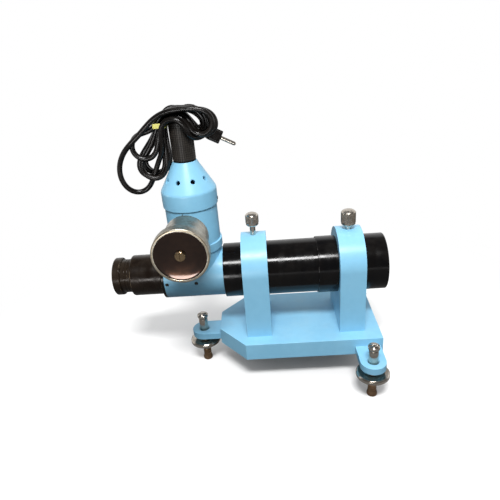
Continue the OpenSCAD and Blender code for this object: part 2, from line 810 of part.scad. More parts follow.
// ---------- micrometer drum ----------

thimble_bore_r = thimble_r - 2.4;
face_depth = 2.5;
rim_w = 2.7;        // width of the polished rim round the face
face_r = grip_r - rim_w;
face_t = 2.2;
face_edge = 1.2;
face_slope = 5;     // width of each step of the dish
face_hole_r = spindle_r + 1.6;
screw_bore_r = 2;
drum_screw_len = 8;
grip_w = 8;

// Flare between the thimble and the grip, a quarter of an ellipse
flare_len = drum_len - grip_w - 2 - thimble_len;
flare = [
    for (a = [0:15:90])
        [thimble_r + (grip_r - thimble_r) * (1 - cos(a)), thimble_len + flare_len * sin(a)]
];

module drum() color(chrome) place() to_front(drum_x, -drum_y, drum_z) rotate_extrude()
    polygon(concat(
        [[thimble_bore_r, 0], [thimble_r - 0.5, 0], [thimble_r, 0.5]],
        flare,
        [[grip_r, drum_len - 2], [grip_r - 0.6, drum_len - 0.6], [grip_r - 2, drum_len],
         [face_r + fit, drum_len], [face_r + fit, drum_len - face_depth],
         [spindle_r + fit, drum_len - face_depth],
         [spindle_r + fit, stem_y - drum_y + face_gap], [thimble_bore_r, stem_y - drum_y + face_gap]]
    ));

// Dished polished plate in the front of the drum
module drum_face() color(brown) place()
    to_front(drum_x, -drum_y - drum_len + face_depth, drum_z) rotate_extrude()
        polygon([
            [face_hole_r, 0], [face_r, 0], [face_r, face_t], [face_r - face_edge, face_t],
            [face_r - face_slope, face_t * 0.68], [face_r - 2 * face_slope, face_t * 0.48],
            [face_hole_r, face_t * 0.41]
        ]);

module drum_spindle() color(chrome) place() {
    front = drum_y + drum_len - face_depth - 0.2;
    difference() {
        union() {
            to_front(drum_x, -collar_y + collar_t - 0.01, drum_z)
                cylinder(r = spindle_r, h = front - collar_y + collar_t);
            to_front(drum_x, -collar_y + collar_t, drum_z) cylinder(r = spindle_r + 2, h = collar_t);
            to_front(drum_x, -spindle_end, drum_z)
                cylinder(r = spindle_thread_r, h = collar_y - spindle_end);
        }
        to_front(drum_x, -front + drum_screw_len + 1, drum_z)
            cylinder(r = screw_bore_r + fit, h = drum_screw_len + 1 + cut);
    }
}

module drum_screw() color(chrome) place()
    to_front(drum_x, -drum_y - drum_len + face_depth, drum_z) difference() {
        union() {
            turned(spindle_r + 1, 3, 0.6);
            translate([0, 0, -drum_screw_len]) cylinder(r = screw_bore_r, h = drum_screw_len + 0.5);
        }
        translate([-0.6, -spindle_r - 2, 1.7]) cube([1.2, 2 * (spindle_r + 2), 2]);
    }

// ---------- lamp cap ----------

cone_wall = cap_wall * 0.85;
neck_h = 6;
neck_top_r = shank_r + 2.9;
cone_lean = atan((cap_r - neck_top_r) / cone_h);
vent_phase = 23;
vent_depth = 12;
cap_grub_r = 1.5;
cap_grub_z = cap_bottom + 4.5;

// Collar, cone and neck in one turned wall, with a row of vent holes square to the cone
module lamp_cap() color(enamel) place() translate([lamp_x, 0, 0]) difference() {
    rotate_extrude()
        polygon([
            [cap_bore_r, cap_bottom], [cap_r - 0.5, cap_bottom], [cap_r, cap_bottom + 0.5],
            [cap_r, cone_z], [neck_top_r, cap_top], [neck_r, cap_top],
            [neck_r, cap_top - neck_h], [cap_bore_r, cone_z - 1.5]
        ]);
    for (i = [0:vent_count - 1])
        rotate(vent_phase - 90 + i * 360 / vent_count)
            translate([cap_r - vent_h * tan(cone_lean), 0, cone_z + vent_h]) rotate([0, 90 - cone_lean, 0])
                cylinder(r = vent_r, h = vent_depth, center = true);
    at_cap_screws() cylinder(r = cap_grub_r + fit, h = 2 * cap_wall);
}

module at_cap_screws() {
    for (turn = [0, 180])
        rotate(turn) translate([cap_bore_r + 0.1, 0, cap_grub_z]) rotate([0, 90, 0]) children();
}

module cap_screws() color(black) place() translate([lamp_x, 0, 0]) at_cap_screws() difference() {
    cylinder(r = cap_grub_r, h = cap_wall + 0.5);
    translate([-0.3, -cap_grub_r - cut, cap_wall - 0.3]) cube([0.6, 2 * (cap_grub_r + cut), 2]);
}

// ---------- lamp holder ----------

socket_r = shank_r - 2.1;
socket_h = 24;
socket_z = holder_bottom - shank_len - 6;
bulb_base_r = socket_r - 1.4;
bulb_base_h = 11;
cord_bore_r = cord_d / 2 + 0.3;

module lamp_holder() color(black) place() translate([lamp_x, 0, 0]) difference() {
    union() {
        translate([0, 0, holder_bottom - shank_len]) cylinder(r = shank_r, h = shank_len + cut);
        translate([0, 0, holder_bottom]) turned(lamp_holder_r, lamp_holder_h, 0.6);
    }
    translate([0, 0, socket_z]) cylinder(r = socket_r + fit, h = socket_h + 4);
    translate([0, 0, holder_bottom]) cylinder(r = cord_bore_r, h = lamp_holder_h + cut);
}

module lamp_socket() color(brass) place() translate([lamp_x, 0, socket_z]) difference() {
    cylinder(r = socket_r, h = socket_h);
    translate([0, 0, -cut]) cylinder(r = bulb_base_r + fit, h = bulb_base_h + 0.2 + cut);
}

module bulb_base() color(brass) place()
    translate([lamp_x, 0, socket_z - 0.5]) cylinder(r = bulb_base_r, h = bulb_base_h + 0.5);

module bulb() color(glass) place() translate([lamp_x, 0, socket_z - 0.5 - bulb_r]) difference() {
    union() {
        sphere(r = bulb_r);
        cylinder(r = bulb_base_r - 0.3, h = bulb_r);
    }
    translate([0, 0, bulb_r]) cylinder(r = bulb_r, h = bulb_r);
}

// ---------- cord ----------

// Tied hank, hung over the holder: [x, height, radius] of its width along its length,
// from the loops that hang at the left to the bulge at the right
hank_run = [
    [-81.5, 243, 16.5], [-77.5, 262, 16], [-64.8, 278, 5.4], [-64.8, 287, 5.4],
    [-52, holder_top + 9, 9], [-32, 292, 11], [-20, 281, 11.5]
];

module cord_hank() color(rubber) place() difference() {
    for (i = [0:len(hank_run) - 2])
        translate([0, hank_t / 2, 0]) rotate([90, 0, 0]) linear_extrude(hank_t) hull()
            for (k = [i, i + 1])
                translate([hank_run[k][0], hank_run[k][1]]) circle(r = hank_run[k][2], $fn = 32);
    translate([lamp_x, 0, holder_bottom]) cylinder(r = lamp_holder_r + 0.1, h = lamp_holder_h);
}

// Sweep of a round tube along points, rings square to the run
function unit(v) = v / norm(v);
function tangent(p, i) = unit(p[min(i + 1, len(p) - 1)] - p[max(i - 1, 0)]);
function ring(p, i, r, sides, ref) =
    let (t = tangent(p, i), n = unit(cross(t, ref)), b = cross(n, t))
    [for (k = [0:sides - 1]) p[i] + r * (cos(360 * k / sides) * n + sin(360 * k / sides) * b)];

module sweep(p, r, ref, sides = 10) {
    rings = len(p);
    points = [for (i = [0:rings - 1]) each ring(p, i, r, sides, ref)];
    walls = [
        for (i = [0:rings - 2], k = [0:sides - 1])
            let (a = i * sides + k, b = i * sides + (k + 1) % sides)
            each [[a, b, b + sides], [a, b + sides, a + sides]]
    ];
    first = [for (k = [sides - 1:-1:0]) k];
    last = [for (k = [0:sides - 1]) (rings - 1) * sides + k];
    polyhedron(points, concat(walls, [first, last]));
}

// Points of a smooth run through chosen points, two rings to a step
function smooth(p) = [
    for (i = [0:len(p) - 2])
        let (a = p[max(i - 1, 0)], b = p[i], c = p[i + 1], d = p[min(i + 2, len(p) - 1)])
        each [b, (9 * (b + c) - a - d) / 16],
    p[len(p) - 1]
];

// The one loose loop, from the front of the hank down and back under its hanging loops
loop_route = [
    [-74, -12, 283], [-86, -12, 276], [-97, -11, 267.5], [-107, -9.5, 257], [-112, -8.5, 243],
    [-110.5, -8, 230], [-104, -6, 219.5], [-94, -3, 217], [-85, -1.5, 223], [-79, -1, 233]
];

module cord_loop() color(rubber) place() sweep(smooth(loop_route), cord_d / 2, [0, 1, 0]);

plug_end = [-11.3, 29.5, 259.3];
plug_lean = 28;
plug_len = 26;
plug_base = 12;     // length of the plug's thick end
pin_r = 2;
pin_side = 9.3;     // distance of each pin from the plug's middle
plug_axis = [cos(plug_lean), 0, -sin(plug_lean)];
plug_tail = plug_end - plug_len * plug_axis;

// From the plug up behind the holder and forward into the hank
tail_route = [
    plug_tail, [-42, 29.5, 275.5], [-49, 27.5, 280], [-54, 22.5, 285.5], [-57, 16, 291], [-58, 9, 293]
];

module cord_tail() color(rubber) place() sweep(smooth(tail_route), cord_d / 2, [0, 0, 1]);

// Plug body: a flat wedge with rounded edges, wide at the pins and narrow at the cord
module plug_body() color(rubber) place()
    translate(plug_end) rotate([0, plug_lean, 0]) rotate([0, -90, 0]) hull() {
        round_r = 2;
        for (x = [-1, 1], y = [-1, 1])
            translate([x * (plug_t / 2 - round_r), y * (plug_w / 2 - round_r), 0])
                cylinder(r = round_r, h = plug_base, $fn = 32);
        cylinder(r = cord_d / 2 + 1.2, h = plug_len, $fn = 32);
    }

module plug_pins() color(chrome) place()
    translate(plug_end) rotate([0, plug_lean, 0]) rotate([0, 90, 0]) for (side = [-1, 1])
        translate([0, side * pin_side, 0]) union() {
            cylinder(r = pin_r, h = pin_len - pin_r);
            translate([0, 0, pin_len - pin_r]) sphere(r = pin_r);
        }

// Band round the neck of the hank
tie_z = hank_run[2][1] + 3;
tie_h = 4.5;
tie_t = 1;

module cord_tie() color(yellow) place()
    translate([hank_run[2][0], 0, tie_z]) linear_extrude(tie_h) difference() {
        tie_outline(tie_t);
        tie_outline(0);
    }

module tie_outline(wall) {
    half = hank_run[2][2] + wall;
    depth = hank_t / 2 + wall;
    polygon([
        for (c = [[1, 1], [-1, 1], [-1, -1], [1, -1]], a = [0, 45, 90])
            let (turn = c == [1, 1] ? 0 : c == [-1, 1] ? 90 : c == [-1, -1] ? 180 : 270)
            [c[0] * (half - 2) + 2 * cos(a + turn), c[1] * (depth - 2) + 2 * sin(a + turn)]
    ]);
}

base_plate();
left_clamp();
right_clamp();
clamp_bolts();
foot_left();
levelling_screw_left();
thumb_wheel_left();
foot_front();
levelling_screw_front();
thumb_wheel_front();
foot_back();
levelling_screw_back();
thumb_wheel_back();
clamp_pad_left();
clamp_screw_left();
clamp_pad_right();
clamp_screw_right();
barrel_tube();
objective_sleeve();
objective_cell();
objective_crown();
objective_flint();
objective_ring();
barrel_baffles();
head_body();
head_screws();
end_plate();
splitter_cell();
beam_splitter();
eyepiece_holder();
eyepiece_reticle();
lamp_tube();
condenser_ring();
condenser_lens();
guide_rods();
drum_sleeve();
eyepiece_tube();
eye_cap();
eye_lens();
field_lens();
target_carriage();
target_glass();
drum();
drum_face();
drum_spindle();
drum_screw();
lamp_cap();
cap_screws();
lamp_holder();
lamp_socket();
bulb();
bulb_base();
cord_hank();
cord_loop();
cord_tail();
cord_tie();
plug_body();
plug_pins();
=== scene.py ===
"""Looks of a laboratory autocollimator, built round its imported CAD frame.

Lengths are metres in the frame's own axes: +X runs along the barrel to the objective, +Y away
from the micrometer drum and +Z up from the table. Places come from the frame's boxes.
"""

import json
import logging
import math
from dataclasses import dataclass
from enum import Enum
from functools import lru_cache
from typing import Any, Callable, Sequence

import bmesh
import bpy
import numpy as np
from mathutils import Matrix, Vector


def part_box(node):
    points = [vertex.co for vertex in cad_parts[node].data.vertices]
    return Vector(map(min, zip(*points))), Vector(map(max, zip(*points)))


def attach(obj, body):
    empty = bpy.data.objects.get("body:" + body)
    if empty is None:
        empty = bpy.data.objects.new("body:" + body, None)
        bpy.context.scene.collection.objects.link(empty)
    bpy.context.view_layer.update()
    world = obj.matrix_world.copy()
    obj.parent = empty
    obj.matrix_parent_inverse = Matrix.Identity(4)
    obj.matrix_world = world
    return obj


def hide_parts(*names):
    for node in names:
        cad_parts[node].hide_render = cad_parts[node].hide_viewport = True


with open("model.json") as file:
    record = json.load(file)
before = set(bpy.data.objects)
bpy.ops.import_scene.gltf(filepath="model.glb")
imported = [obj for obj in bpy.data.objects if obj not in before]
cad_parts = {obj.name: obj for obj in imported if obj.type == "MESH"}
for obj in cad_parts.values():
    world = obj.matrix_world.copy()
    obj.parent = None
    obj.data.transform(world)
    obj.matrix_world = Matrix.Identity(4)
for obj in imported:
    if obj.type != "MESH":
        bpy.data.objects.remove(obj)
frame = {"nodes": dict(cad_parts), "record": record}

Colour = tuple[float, float, float]
Corner = tuple[float, float, float]
Place = tuple[float, float, float]
Socket = bpy.types.NodeSocket
Sockets = dict[str, Socket]
Number = Socket | float
Paint = Socket | Colour

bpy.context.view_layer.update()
log = logging.getLogger("autocollimator")

# A millimetre in metres, a whole turn in radians, a distance in metres and angles in degrees.
MM = 0.001
TURN = 2 * math.pi
WELD_DISTANCE = 2e-6
FLAT_ANGLE = 0.6
TURNED_SHARP_ANGLE = 28.0
SOFTENED_SHARP_ANGLE = 40.0
LEAST_EDGE_ANGLE = 32.0

# The most of a side that a rounding may take, and the faces across it and round a piece.
ROUNDING_SHARE = 0.48
ROUNDING_STEPS = 3
TURNED_SEGMENTS = 160

DUST_COLOUR: Colour = (0.62, 0.58, 0.52)
COAT_ROUGHNESS = 0.06


class Axis(Enum):
    """Direction in which a turned piece's own axis points."""

    ALONG_BARREL = (1.0, 0.0, 0.0)
    TO_FRONT = (0.0, -1.0, 0.0)
    UP = (0.0, 0.0, 1.0)

    def placed(self, origin: Vector) -> Matrix:
        """Gives the matrix that lays local +Z on this axis.

        Args:
            origin: Point where the local origin goes.

        Returns:
            The rotation and translation as one matrix.
        """
        turn = Vector((0, 0, 1)).rotation_difference(Vector(self.value))
        return Matrix.Translation(origin) @ turn.to_matrix().to_4x4()


@lru_cache(maxsize=None)
def corners_of(node: str) -> tuple[Place, Place]:
    """Gives the lowest and highest corners of a CAD node's box, measured once."""
    low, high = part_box(node)
    return tuple(low), tuple(high)


def middle(node: str) -> Vector:
    """Gives the middle of a CAD node's box."""
    return (low_of(node) + high_of(node)) / 2


def low_of(node: str) -> Vector:
    """Gives the lowest corner of a CAD node's box."""
    return Vector(corners_of(node)[0])


def high_of(node: str) -> Vector:
    """Gives the highest corner of a CAD node's box."""
    return Vector(corners_of(node)[1])


def half_size(node: str, axis: int) -> float:
    """Gives half of a CAD node's extent along an axis."""
    return (high_of(node)[axis] - low_of(node)[axis]) / 2


# ---------------------------------------------------------------- node trees


class Wiring:
    """Adds and links the nodes of one tree."""

    def __init__(self, tree: bpy.types.NodeTree) -> None:
        """Keeps the tree that is wired."""
        self.tree = tree

    def add(self, kind: str, **values: Any) -> bpy.types.Node:
        """Adds a node and sets its properties and sockets.

        Args:
            kind: Type of the node.
            **values: Properties by name, or socket values and links by name, with _ for a space
                and in_0, in_1 for sockets by number.

        Returns:
            The new node.
        """
        node = self.tree.nodes.new(kind)
        for name, value in values.items():
            if hasattr(node, name) and not isinstance(value, Socket):
                setattr(node, name, value)
                continue
            key = int(name[3:]) if name.startswith("in_") else name.replace("_", " ")
            self.put(node.inputs[key], value)
        return node

    def put(self, socket: Socket, value: Any) -> None:
        """Links a socket to another one, or gives it a value.

        Args:
            socket: The input.
            value: A socket, a number or a colour.
        """
        if isinstance(value, Socket):
            self.tree.links.new(value, socket)
        elif isinstance(value, tuple) and len(value) == 3 and socket.type == "RGBA":
            socket.default_value = (*value, 1.0)
        else:
            socket.default_value = value

    def math(self, operation: str, *values: Number) -> Socket:
        """Adds a math node.

        Args:
            operation: What it works out.
            *values: Sockets or numbers for its inputs.

        Returns:
            The result.
        """
        node = self.add("ShaderNodeMath", operation=operation)
        for i, value in enumerate(values):
            self.put(node.inputs[i], value)
        return node.outputs[0]

    def group(self, tree: bpy.types.NodeTree, **values: Any) -> bpy.types.NodeOutputs:
        """Places a shader node group with its values, and gives its outputs."""
        return self.add("ShaderNodeGroup", node_tree=tree, **values).outputs

    def vector(self, **parts: Number) -> Socket:
        """Joins numbers to a vector.

        Args:
            **parts: Sockets or numbers for x, y and z; a part that isn't given is 0.

        Returns:
            The vector.
        """
        node = self.add("ShaderNodeCombineXYZ")
        for name, value in parts.items():
            self.put(node.inputs[name.upper()], value)
        return node.outputs[0]

    def mix(self, share: Number, first: Paint, second: Paint) -> Socket:
        """Adds a mix of two colours; the node has them at inputs 6 and 7 and output 2.

        Args:
            share: Share of the second colour.
            first: The first colour.
            second: The second colour.

        Returns:
            The mixed colour.
        """
        node = self.add("ShaderNodeMix", data_type="RGBA")
        self.put(node.inputs[0], share)
        self.put(node.inputs[6], first)
        self.put(node.inputs[7], second)
        return node.outputs[2]

    def ramp(self, value: Socket, low: float, high: float) -> Socket:
        """Spreads a value from low..high to 0..1, smoothly.

        Args:
            value: The value.
            low: Value that becomes 0.
            high: Value that becomes 1.

        Returns:
            The spread value.
        """
        node = self.add("ShaderNodeMapRange", interpolation_type="SMOOTHSTEP")
        self.put(node.inputs["Value"], value)
        self.put(node.inputs["From Min"], low)
        self.put(node.inputs["From Max"], high)
        return node.outputs[0]


def shader_group(
    name: str,
    inputs: dict[str, float],
    outputs: Sequence[str],
    wire: Callable[[Wiring, Sockets], Sockets],
) -> bpy.types.NodeTree:
    """Builds a shader node group once, whose inputs and outputs are all floats.

    Args:
        name: Name of the group.
        inputs: Default of each input.
        outputs: Name of each output.
        wire: Adds the nodes, given the wiring and the inputs, and gives the outputs.

    Returns:
        The group.
    """
    if name in bpy.data.node_groups:
        return bpy.data.node_groups[name]
    tree = bpy.data.node_groups.new(name, "ShaderNodeTree")
    for key, value in inputs.items():
        socket = tree.interface.new_socket(key, in_out="INPUT", socket_type="NodeSocketFloat")
        socket.default_value = value
    for key in outputs:
        tree.interface.new_socket(key, in_out="OUTPUT", socket_type="NodeSocketFloat")
    wiring = Wiring(tree)
    entry = wiring.add("NodeGroupInput")
    made = wire(wiring, {key: entry.outputs[key] for key in inputs})
    way_out = wiring.add("NodeGroupOutput")
    for key, socket in made.items():
        wiring.put(way_out.inputs[key], socket)
    return tree


def tone_drift() -> bpy.types.NodeTree:
    """Builds the slow drift of a finish's tone, with a finer mottle in it.

    Returns:
        The group.
    """
    finer, wide_share, fine_share = 7.0, 0.65, 0.35

    def wire(w: Wiring, use: Sockets) -> Sockets:
        """Mixes a wide and a fine noise in the piece's own space.

        Args:
            w: Wiring of the group.
            use: Its inputs.

        Returns:
            Its outputs.
        """
        place = w.add("ShaderNodeTexCoord").outputs["Object"]
        wide = w.add("ShaderNodeTexNoise", Vector=place, Scale=use["Scale"], Detail=2.0)
        fine_scale = w.math("MULTIPLY", use["Scale"], finer)
        fine = w.add("ShaderNodeTexNoise", Vector=place, Scale=fine_scale, Detail=4.0)
        slow_part = w.math("MULTIPLY", wide.outputs[0], wide_share)
        fine_part = w.math("MULTIPLY", fine.outputs[0], fine_share)
        return {"Mask": w.ramp(w.math("ADD", slow_part, fine_part), 0.36, 0.64)}

    return shader_group("tone_drift", {"Scale": 20.0}, ["Mask"], wire)


def paint_peel() -> bpy.types.NodeTree:
    """Builds the gentle waves of sprayed or stoved paint.

    Returns:
        The group.
    """
    longer, wave_height = 0.16, 2.4

    def wire(w: Wiring, use: Sockets) -> Sockets:
        """Adds long waves to a fine peel.

        Args:
            w: Wiring of the group.
            use: Its inputs.

        Returns:
            Its outputs.
        """
        place = w.add("ShaderNodeTexCoord").outputs["Object"]
        peel = w.add("ShaderNodeTexNoise", Vector=place, Scale=use["Scale"], Detail=1.5)
        slow = w.math("MULTIPLY", use["Scale"], longer)
        waves = w.add("ShaderNodeTexNoise", Vector=place, Scale=slow, Detail=1.0)
        high_waves = w.math("MULTIPLY", waves.outputs[0], wave_height)
        return {"Height": w.math("ADD", peel.outputs[0], high_waves)}

    return shader_group("paint_peel", {"Scale": 420.0}, ["Height"], wire)


def turned_marks() -> bpy.types.NodeTree:
    """Builds the rings that a lathe leaves, across the run of the piece's turned map.

    Returns:
        The group.
    """
    round_scale, broader = 14.0, 0.09

    def wire(w: Wiring, use: Sockets) -> Sockets:
        """Reads the distance along the profile and makes fine and broad rings of it.

        Args:
            w: Wiring of the group.
            use: Its inputs.

        Returns:
            Its outputs.
        """
        run = w.add("ShaderNodeUVMap", uv_map="turned").outputs[0]
        parts = w.add("ShaderNodeSeparateXYZ", in_0=run)
        fine_run = w.math("MULTIPLY", parts.outputs[1], use["Fineness"])
        slow_angle = w.math("MULTIPLY", parts.outputs[0], round_scale)
        fine_place = w.vector(x=slow_angle, y=fine_run)
        fine = w.add("ShaderNodeTexNoise", Vector=fine_place, Scale=1.0, Detail=3.0)
        broad_place = w.vector(x=slow_angle, y=w.math("MULTIPLY", fine_run, broader))
        broad = w.add("ShaderNodeTexNoise", Vector=broad_place, Scale=1.0, Detail=1.0)
        return {"Height": fine.outputs[0], "Mask": w.ramp(broad.outputs[0], 0.35, 0.65)}

    return shader_group("turned_marks", {"Fineness": 2500.0}, ["Height", "Mask"], wire)


def edge_wear_and_highlight() -> bpy.types.NodeTree:
    """Builds the mask of paler edges from the edge attribute, broken up by noise: rubbed wear, and
    on the enamel a painted edge highlight as well.

    Returns:
        The group.
    """

    def wire(w: Wiring, use: Sockets) -> Sockets:
        """Lets the attribute show where it rises over a noise.

        Args:
            w: Wiring of the group.
            use: Its inputs.

        Returns:
            Its outputs.
        """
        edge = w.add("ShaderNodeAttribute", attribute_name="edge").outputs["Fac"]
        place = w.add("ShaderNodeTexCoord").outputs["Object"]
        noise = w.add("ShaderNodeTexNoise", Vector=place, Scale=use["Breakup"], Detail=4.0)
        edge_wear_and_highlight_colour = w.math("MULTIPLY", edge, use["Amount"])
        level = w.math("ADD", edge_wear_and_highlight_colour, w.math("SUBTRACT", noise.outputs[0], 1.0))
        return {"Mask": w.ramp(level, 0.0, 0.18)}

    return shader_group("edge_wear_and_highlight", {"Amount": 0.7, "Breakup": 160.0}, ["Mask"], wire)


def settled_dust() -> bpy.types.NodeTree:
    """Builds a thin film of dust and smears that lies mostly on faces that look up.

    Returns:
        The group.
    """
    upward_share, other_share = 0.7, 0.3

    def wire(w: Wiring, use: Sockets) -> Sockets:
        """Mixes upward normals with a blotchy noise.

        Args:
            w: Wiring of the group.
            use: Its inputs.

        Returns:
            Its outputs.
        """
        normal = w.add("ShaderNodeNewGeometry").outputs["Normal"]
        up = w.add("ShaderNodeSeparateXYZ", in_0=normal).outputs[2]
        place = w.add("ShaderNodeTexCoord").outputs["Object"]
        noise = w.add("ShaderNodeTexNoise", Vector=place, Scale=use["Scale"], Detail=5.0,
                      Roughness=0.6)
        on_top = w.math("MULTIPLY", w.ramp(up, 0.1, 0.95), upward_share)
        lying = w.math("ADD", on_top, other_share)
        film = w.math("MULTIPLY", w.ramp(noise.outputs[0], 0.42, 0.72), lying)
        return {"Mask": w.math("MULTIPLY", film, use["Amount"])}

    return shader_group("settled_dust", {"Amount": 0.2, "Scale": 60.0}, ["Mask"], wire)


# ---------------------------------------------------------------- finishes


class Surface(Enum):
    """How a finish's surface is worked."""

    PAINTED = "painted"
    TURNED = "turned"
    MOULDED = "moulded"


def new_material(name: str) -> tuple[bpy.types.Material, Wiring, bpy.types.Node]:
    """Makes a material.

    Args:
        name: Name of the material.

    Returns:
        The material, the wiring of its nodes and its shader.
    """
    made = bpy.data.materials.new(name)
    made.use_nodes = True
    return made, Wiring(made.node_tree), made.node_tree.nodes["Principled BSDF"]


@dataclass(frozen=True)
class Finish:
    """One opaque finish: its colours, gloss and surface.

    The colour drifts to its drifted tone, and its rounded edges turn paler: rubbed wear on most
    finishes, and on the enamel partly a painted edge highlight. Relief is the bump's height in
    metres, and grain is how many marks or waves there are to the metre. The name tells apart two
    finishes of one slot.
    """

    slot: str
    colour: Colour
    drifted: Colour
    edge_wear_and_highlight_colour: Colour
    surface: Surface = Surface.PAINTED
    metallic: float = 0.0
    roughness: float = 0.3
    rough_drift: float = 0.1
    coat: float = 0.0
    tone_scale: float = 22.0
    grain: float = 420.0
    relief: float = 0.00003
    edge_share: float = 0.6
    dust: float = 0.1
    specular: float = 0.5
    name: str = ""

    def material(self) -> bpy.types.Material:
        """Gives the finish's material, and builds it the first time.

        Returns:
            The material.
        """
        dust_on_metal, dust_roughness = 0.8, 0.4
        name = (self.name or self.slot) + "_finish"
        if name in bpy.data.materials:
            return bpy.data.materials[name]
        made, w, shader = new_material(name)
        made.diffuse_color = (*self.colour, 1.0)
        shader.inputs["Coat Weight"].default_value = self.coat
        shader.inputs["Coat Roughness"].default_value = COAT_ROUGHNESS
        shader.inputs["Specular IOR Level"].default_value = self.specular
        tone = w.group(tone_drift(), Scale=self.tone_scale)["Mask"]
        edge_share = w.group(edge_wear_and_highlight(), Amount=self.edge_share)["Mask"]
        dust = w.group(settled_dust(), Amount=self.dust)["Mask"]
        colour = w.mix(tone, self.colour, self.drifted)
        # Paler colour on rounded edges: rubbed wear, and on the enamel a painted edge highlight
        # too.
        colour = w.mix(edge_share, colour, self.edge_wear_and_highlight_colour)
        w.put(shader.inputs["Base Color"], w.mix(dust, colour, DUST_COLOUR))
        if self.surface is Surface.TURNED:
            marks = w.group(turned_marks(), Fineness=self.grain)
            height, drift = marks["Height"], marks["Mask"]
        else:
            height, drift = w.group(paint_peel(), Scale=self.grain)["Height"], tone
        bare = w.math("SUBTRACT", 1.0, w.math("MULTIPLY", dust, dust_on_metal))
        w.put(shader.inputs["Metallic"], w.math("MULTIPLY", bare, self.metallic))
        rough = w.math("ADD", self.roughness, w.math("MULTIPLY", drift, self.rough_drift))
        dusty = w.math("MULTIPLY", dust, dust_roughness)
        w.put(shader.inputs["Roughness"], w.math("ADD", rough, dusty))
        bump = w.add("ShaderNodeBump", Strength=1.0, Distance=self.relief, Height=height)
        w.put(shader.inputs["Normal"], bump.outputs[0])
        return made


@dataclass(frozen=True)
class Glass:
    """A clear finish for lenses, plates and the bulb, with a thin film of dust."""

    slot: str = "lens_glass"
    tint: Colour = (0.93, 0.97, 0.97)
    ior: float = 1.52
    polish: float = 0.02
    film: float = 0.25
    film_scale: float = 130.0
    film_colour: Colour = (0.72, 0.74, 0.74)
    film_roughness: float = 0.3

    def material(self) -> bpy.types.Material:
        """Gives the glass, and builds it the first time.

        Returns:
            The material.
        """
        name = self.slot + "_finish"
        if name in bpy.data.materials:
            return bpy.data.materials[name]
        made, w, shader = new_material(name)
        for key, value in {"Transmission Weight": 1.0, "IOR": self.ior, "Metallic": 0.0}.items():
            shader.inputs[key].default_value = value
        dust = w.group(settled_dust(), Amount=self.film, Scale=self.film_scale)["Mask"]
        w.put(shader.inputs["Base Color"], w.mix(dust, self.tint, self.film_colour))
        dusty = w.math("MULTIPLY", dust, self.film_roughness)
        w.put(shader.inputs["Roughness"], w.math("ADD", self.polish, dusty))
        return made


AnyFinish = Finish | Glass

# Sky-blue enamel. Its pale edge colour is partly worn paint and partly a painted highlight along
# the rounded edges.
ENAMEL = Finish(
    "enamel", (0.252, 0.562, 0.778), (0.226, 0.520, 0.735), (0.50, 0.80, 0.92),
    roughness=0.28, relief=0.000014, edge_share=0.45, dust=0.05, specular=0.4)
BLACK_TUBE = Finish(
    "black_anodised", (0.0022, 0.0022, 0.0026), (0.005, 0.004, 0.0036), (0.09, 0.085, 0.08),
    Surface.TURNED, roughness=0.11, rough_drift=0.08, grain=1500.0, relief=0.0000006,
    edge_share=0.5, dust=0.008, specular=0.2)
BLACK_SCREW = Finish(
    "black_screws", (0.006, 0.006, 0.008), (0.014, 0.014, 0.014), (0.12, 0.11, 0.10),
    metallic=0.4, roughness=0.35, grain=900.0, relief=0.00001, dust=0.04, specular=0.3)
BRONZED = Finish(
    "bronzed_black", (0.010, 0.006, 0.004), (0.021, 0.014, 0.009), (0.16, 0.12, 0.08),
    Surface.TURNED, metallic=0.15, roughness=0.15, rough_drift=0.14, tone_scale=30.0,
    grain=1200.0, relief=0.0000025, edge_share=0.5, dust=0.015, specular=0.2)
NICKEL = Finish(
    "chrome", (0.66, 0.62, 0.56), (0.44, 0.39, 0.33), (0.76, 0.73, 0.68),
    Surface.TURNED, metallic=1.0, roughness=0.10, rough_drift=0.14, tone_scale=60.0,
    grain=2000.0, relief=0.0000015, edge_share=0.4, dust=0.03)
BRASS = Finish(
    "brass", (0.44, 0.28, 0.17), (0.26, 0.16, 0.09), (0.66, 0.50, 0.34),
    Surface.TURNED, metallic=1.0, roughness=0.18, rough_drift=0.2, tone_scale=90.0,
    grain=1800.0, relief=0.000003, edge_share=0.5, dust=0.05)
SCREW_BRASS = Finish(
    "chrome", (0.30, 0.22, 0.13), (0.18, 0.12, 0.07), (0.5, 0.40, 0.26),
    Surface.TURNED, metallic=1.0, roughness=0.16, rough_drift=0.2, tone_scale=90.0,
    grain=1800.0, relief=0.000003, edge_share=0.4, dust=0.03, name="drum_screw_brass")
STEEL = Finish(
    "steel", (0.48, 0.48, 0.46), (0.38, 0.37, 0.35), (0.7, 0.7, 0.68),
    metallic=1.0, grain=1500.0, relief=0.000003, dust=0.05)
SATIN = Finish(
    "satin_chrome", (0.44, 0.43, 0.38), (0.20, 0.19, 0.155), (0.66, 0.54, 0.38),
    Surface.TURNED, metallic=1.0, rough_drift=0.2, tone_scale=60.0, grain=1400.0,
    relief=0.000004, edge_share=0.9, dust=0.12)
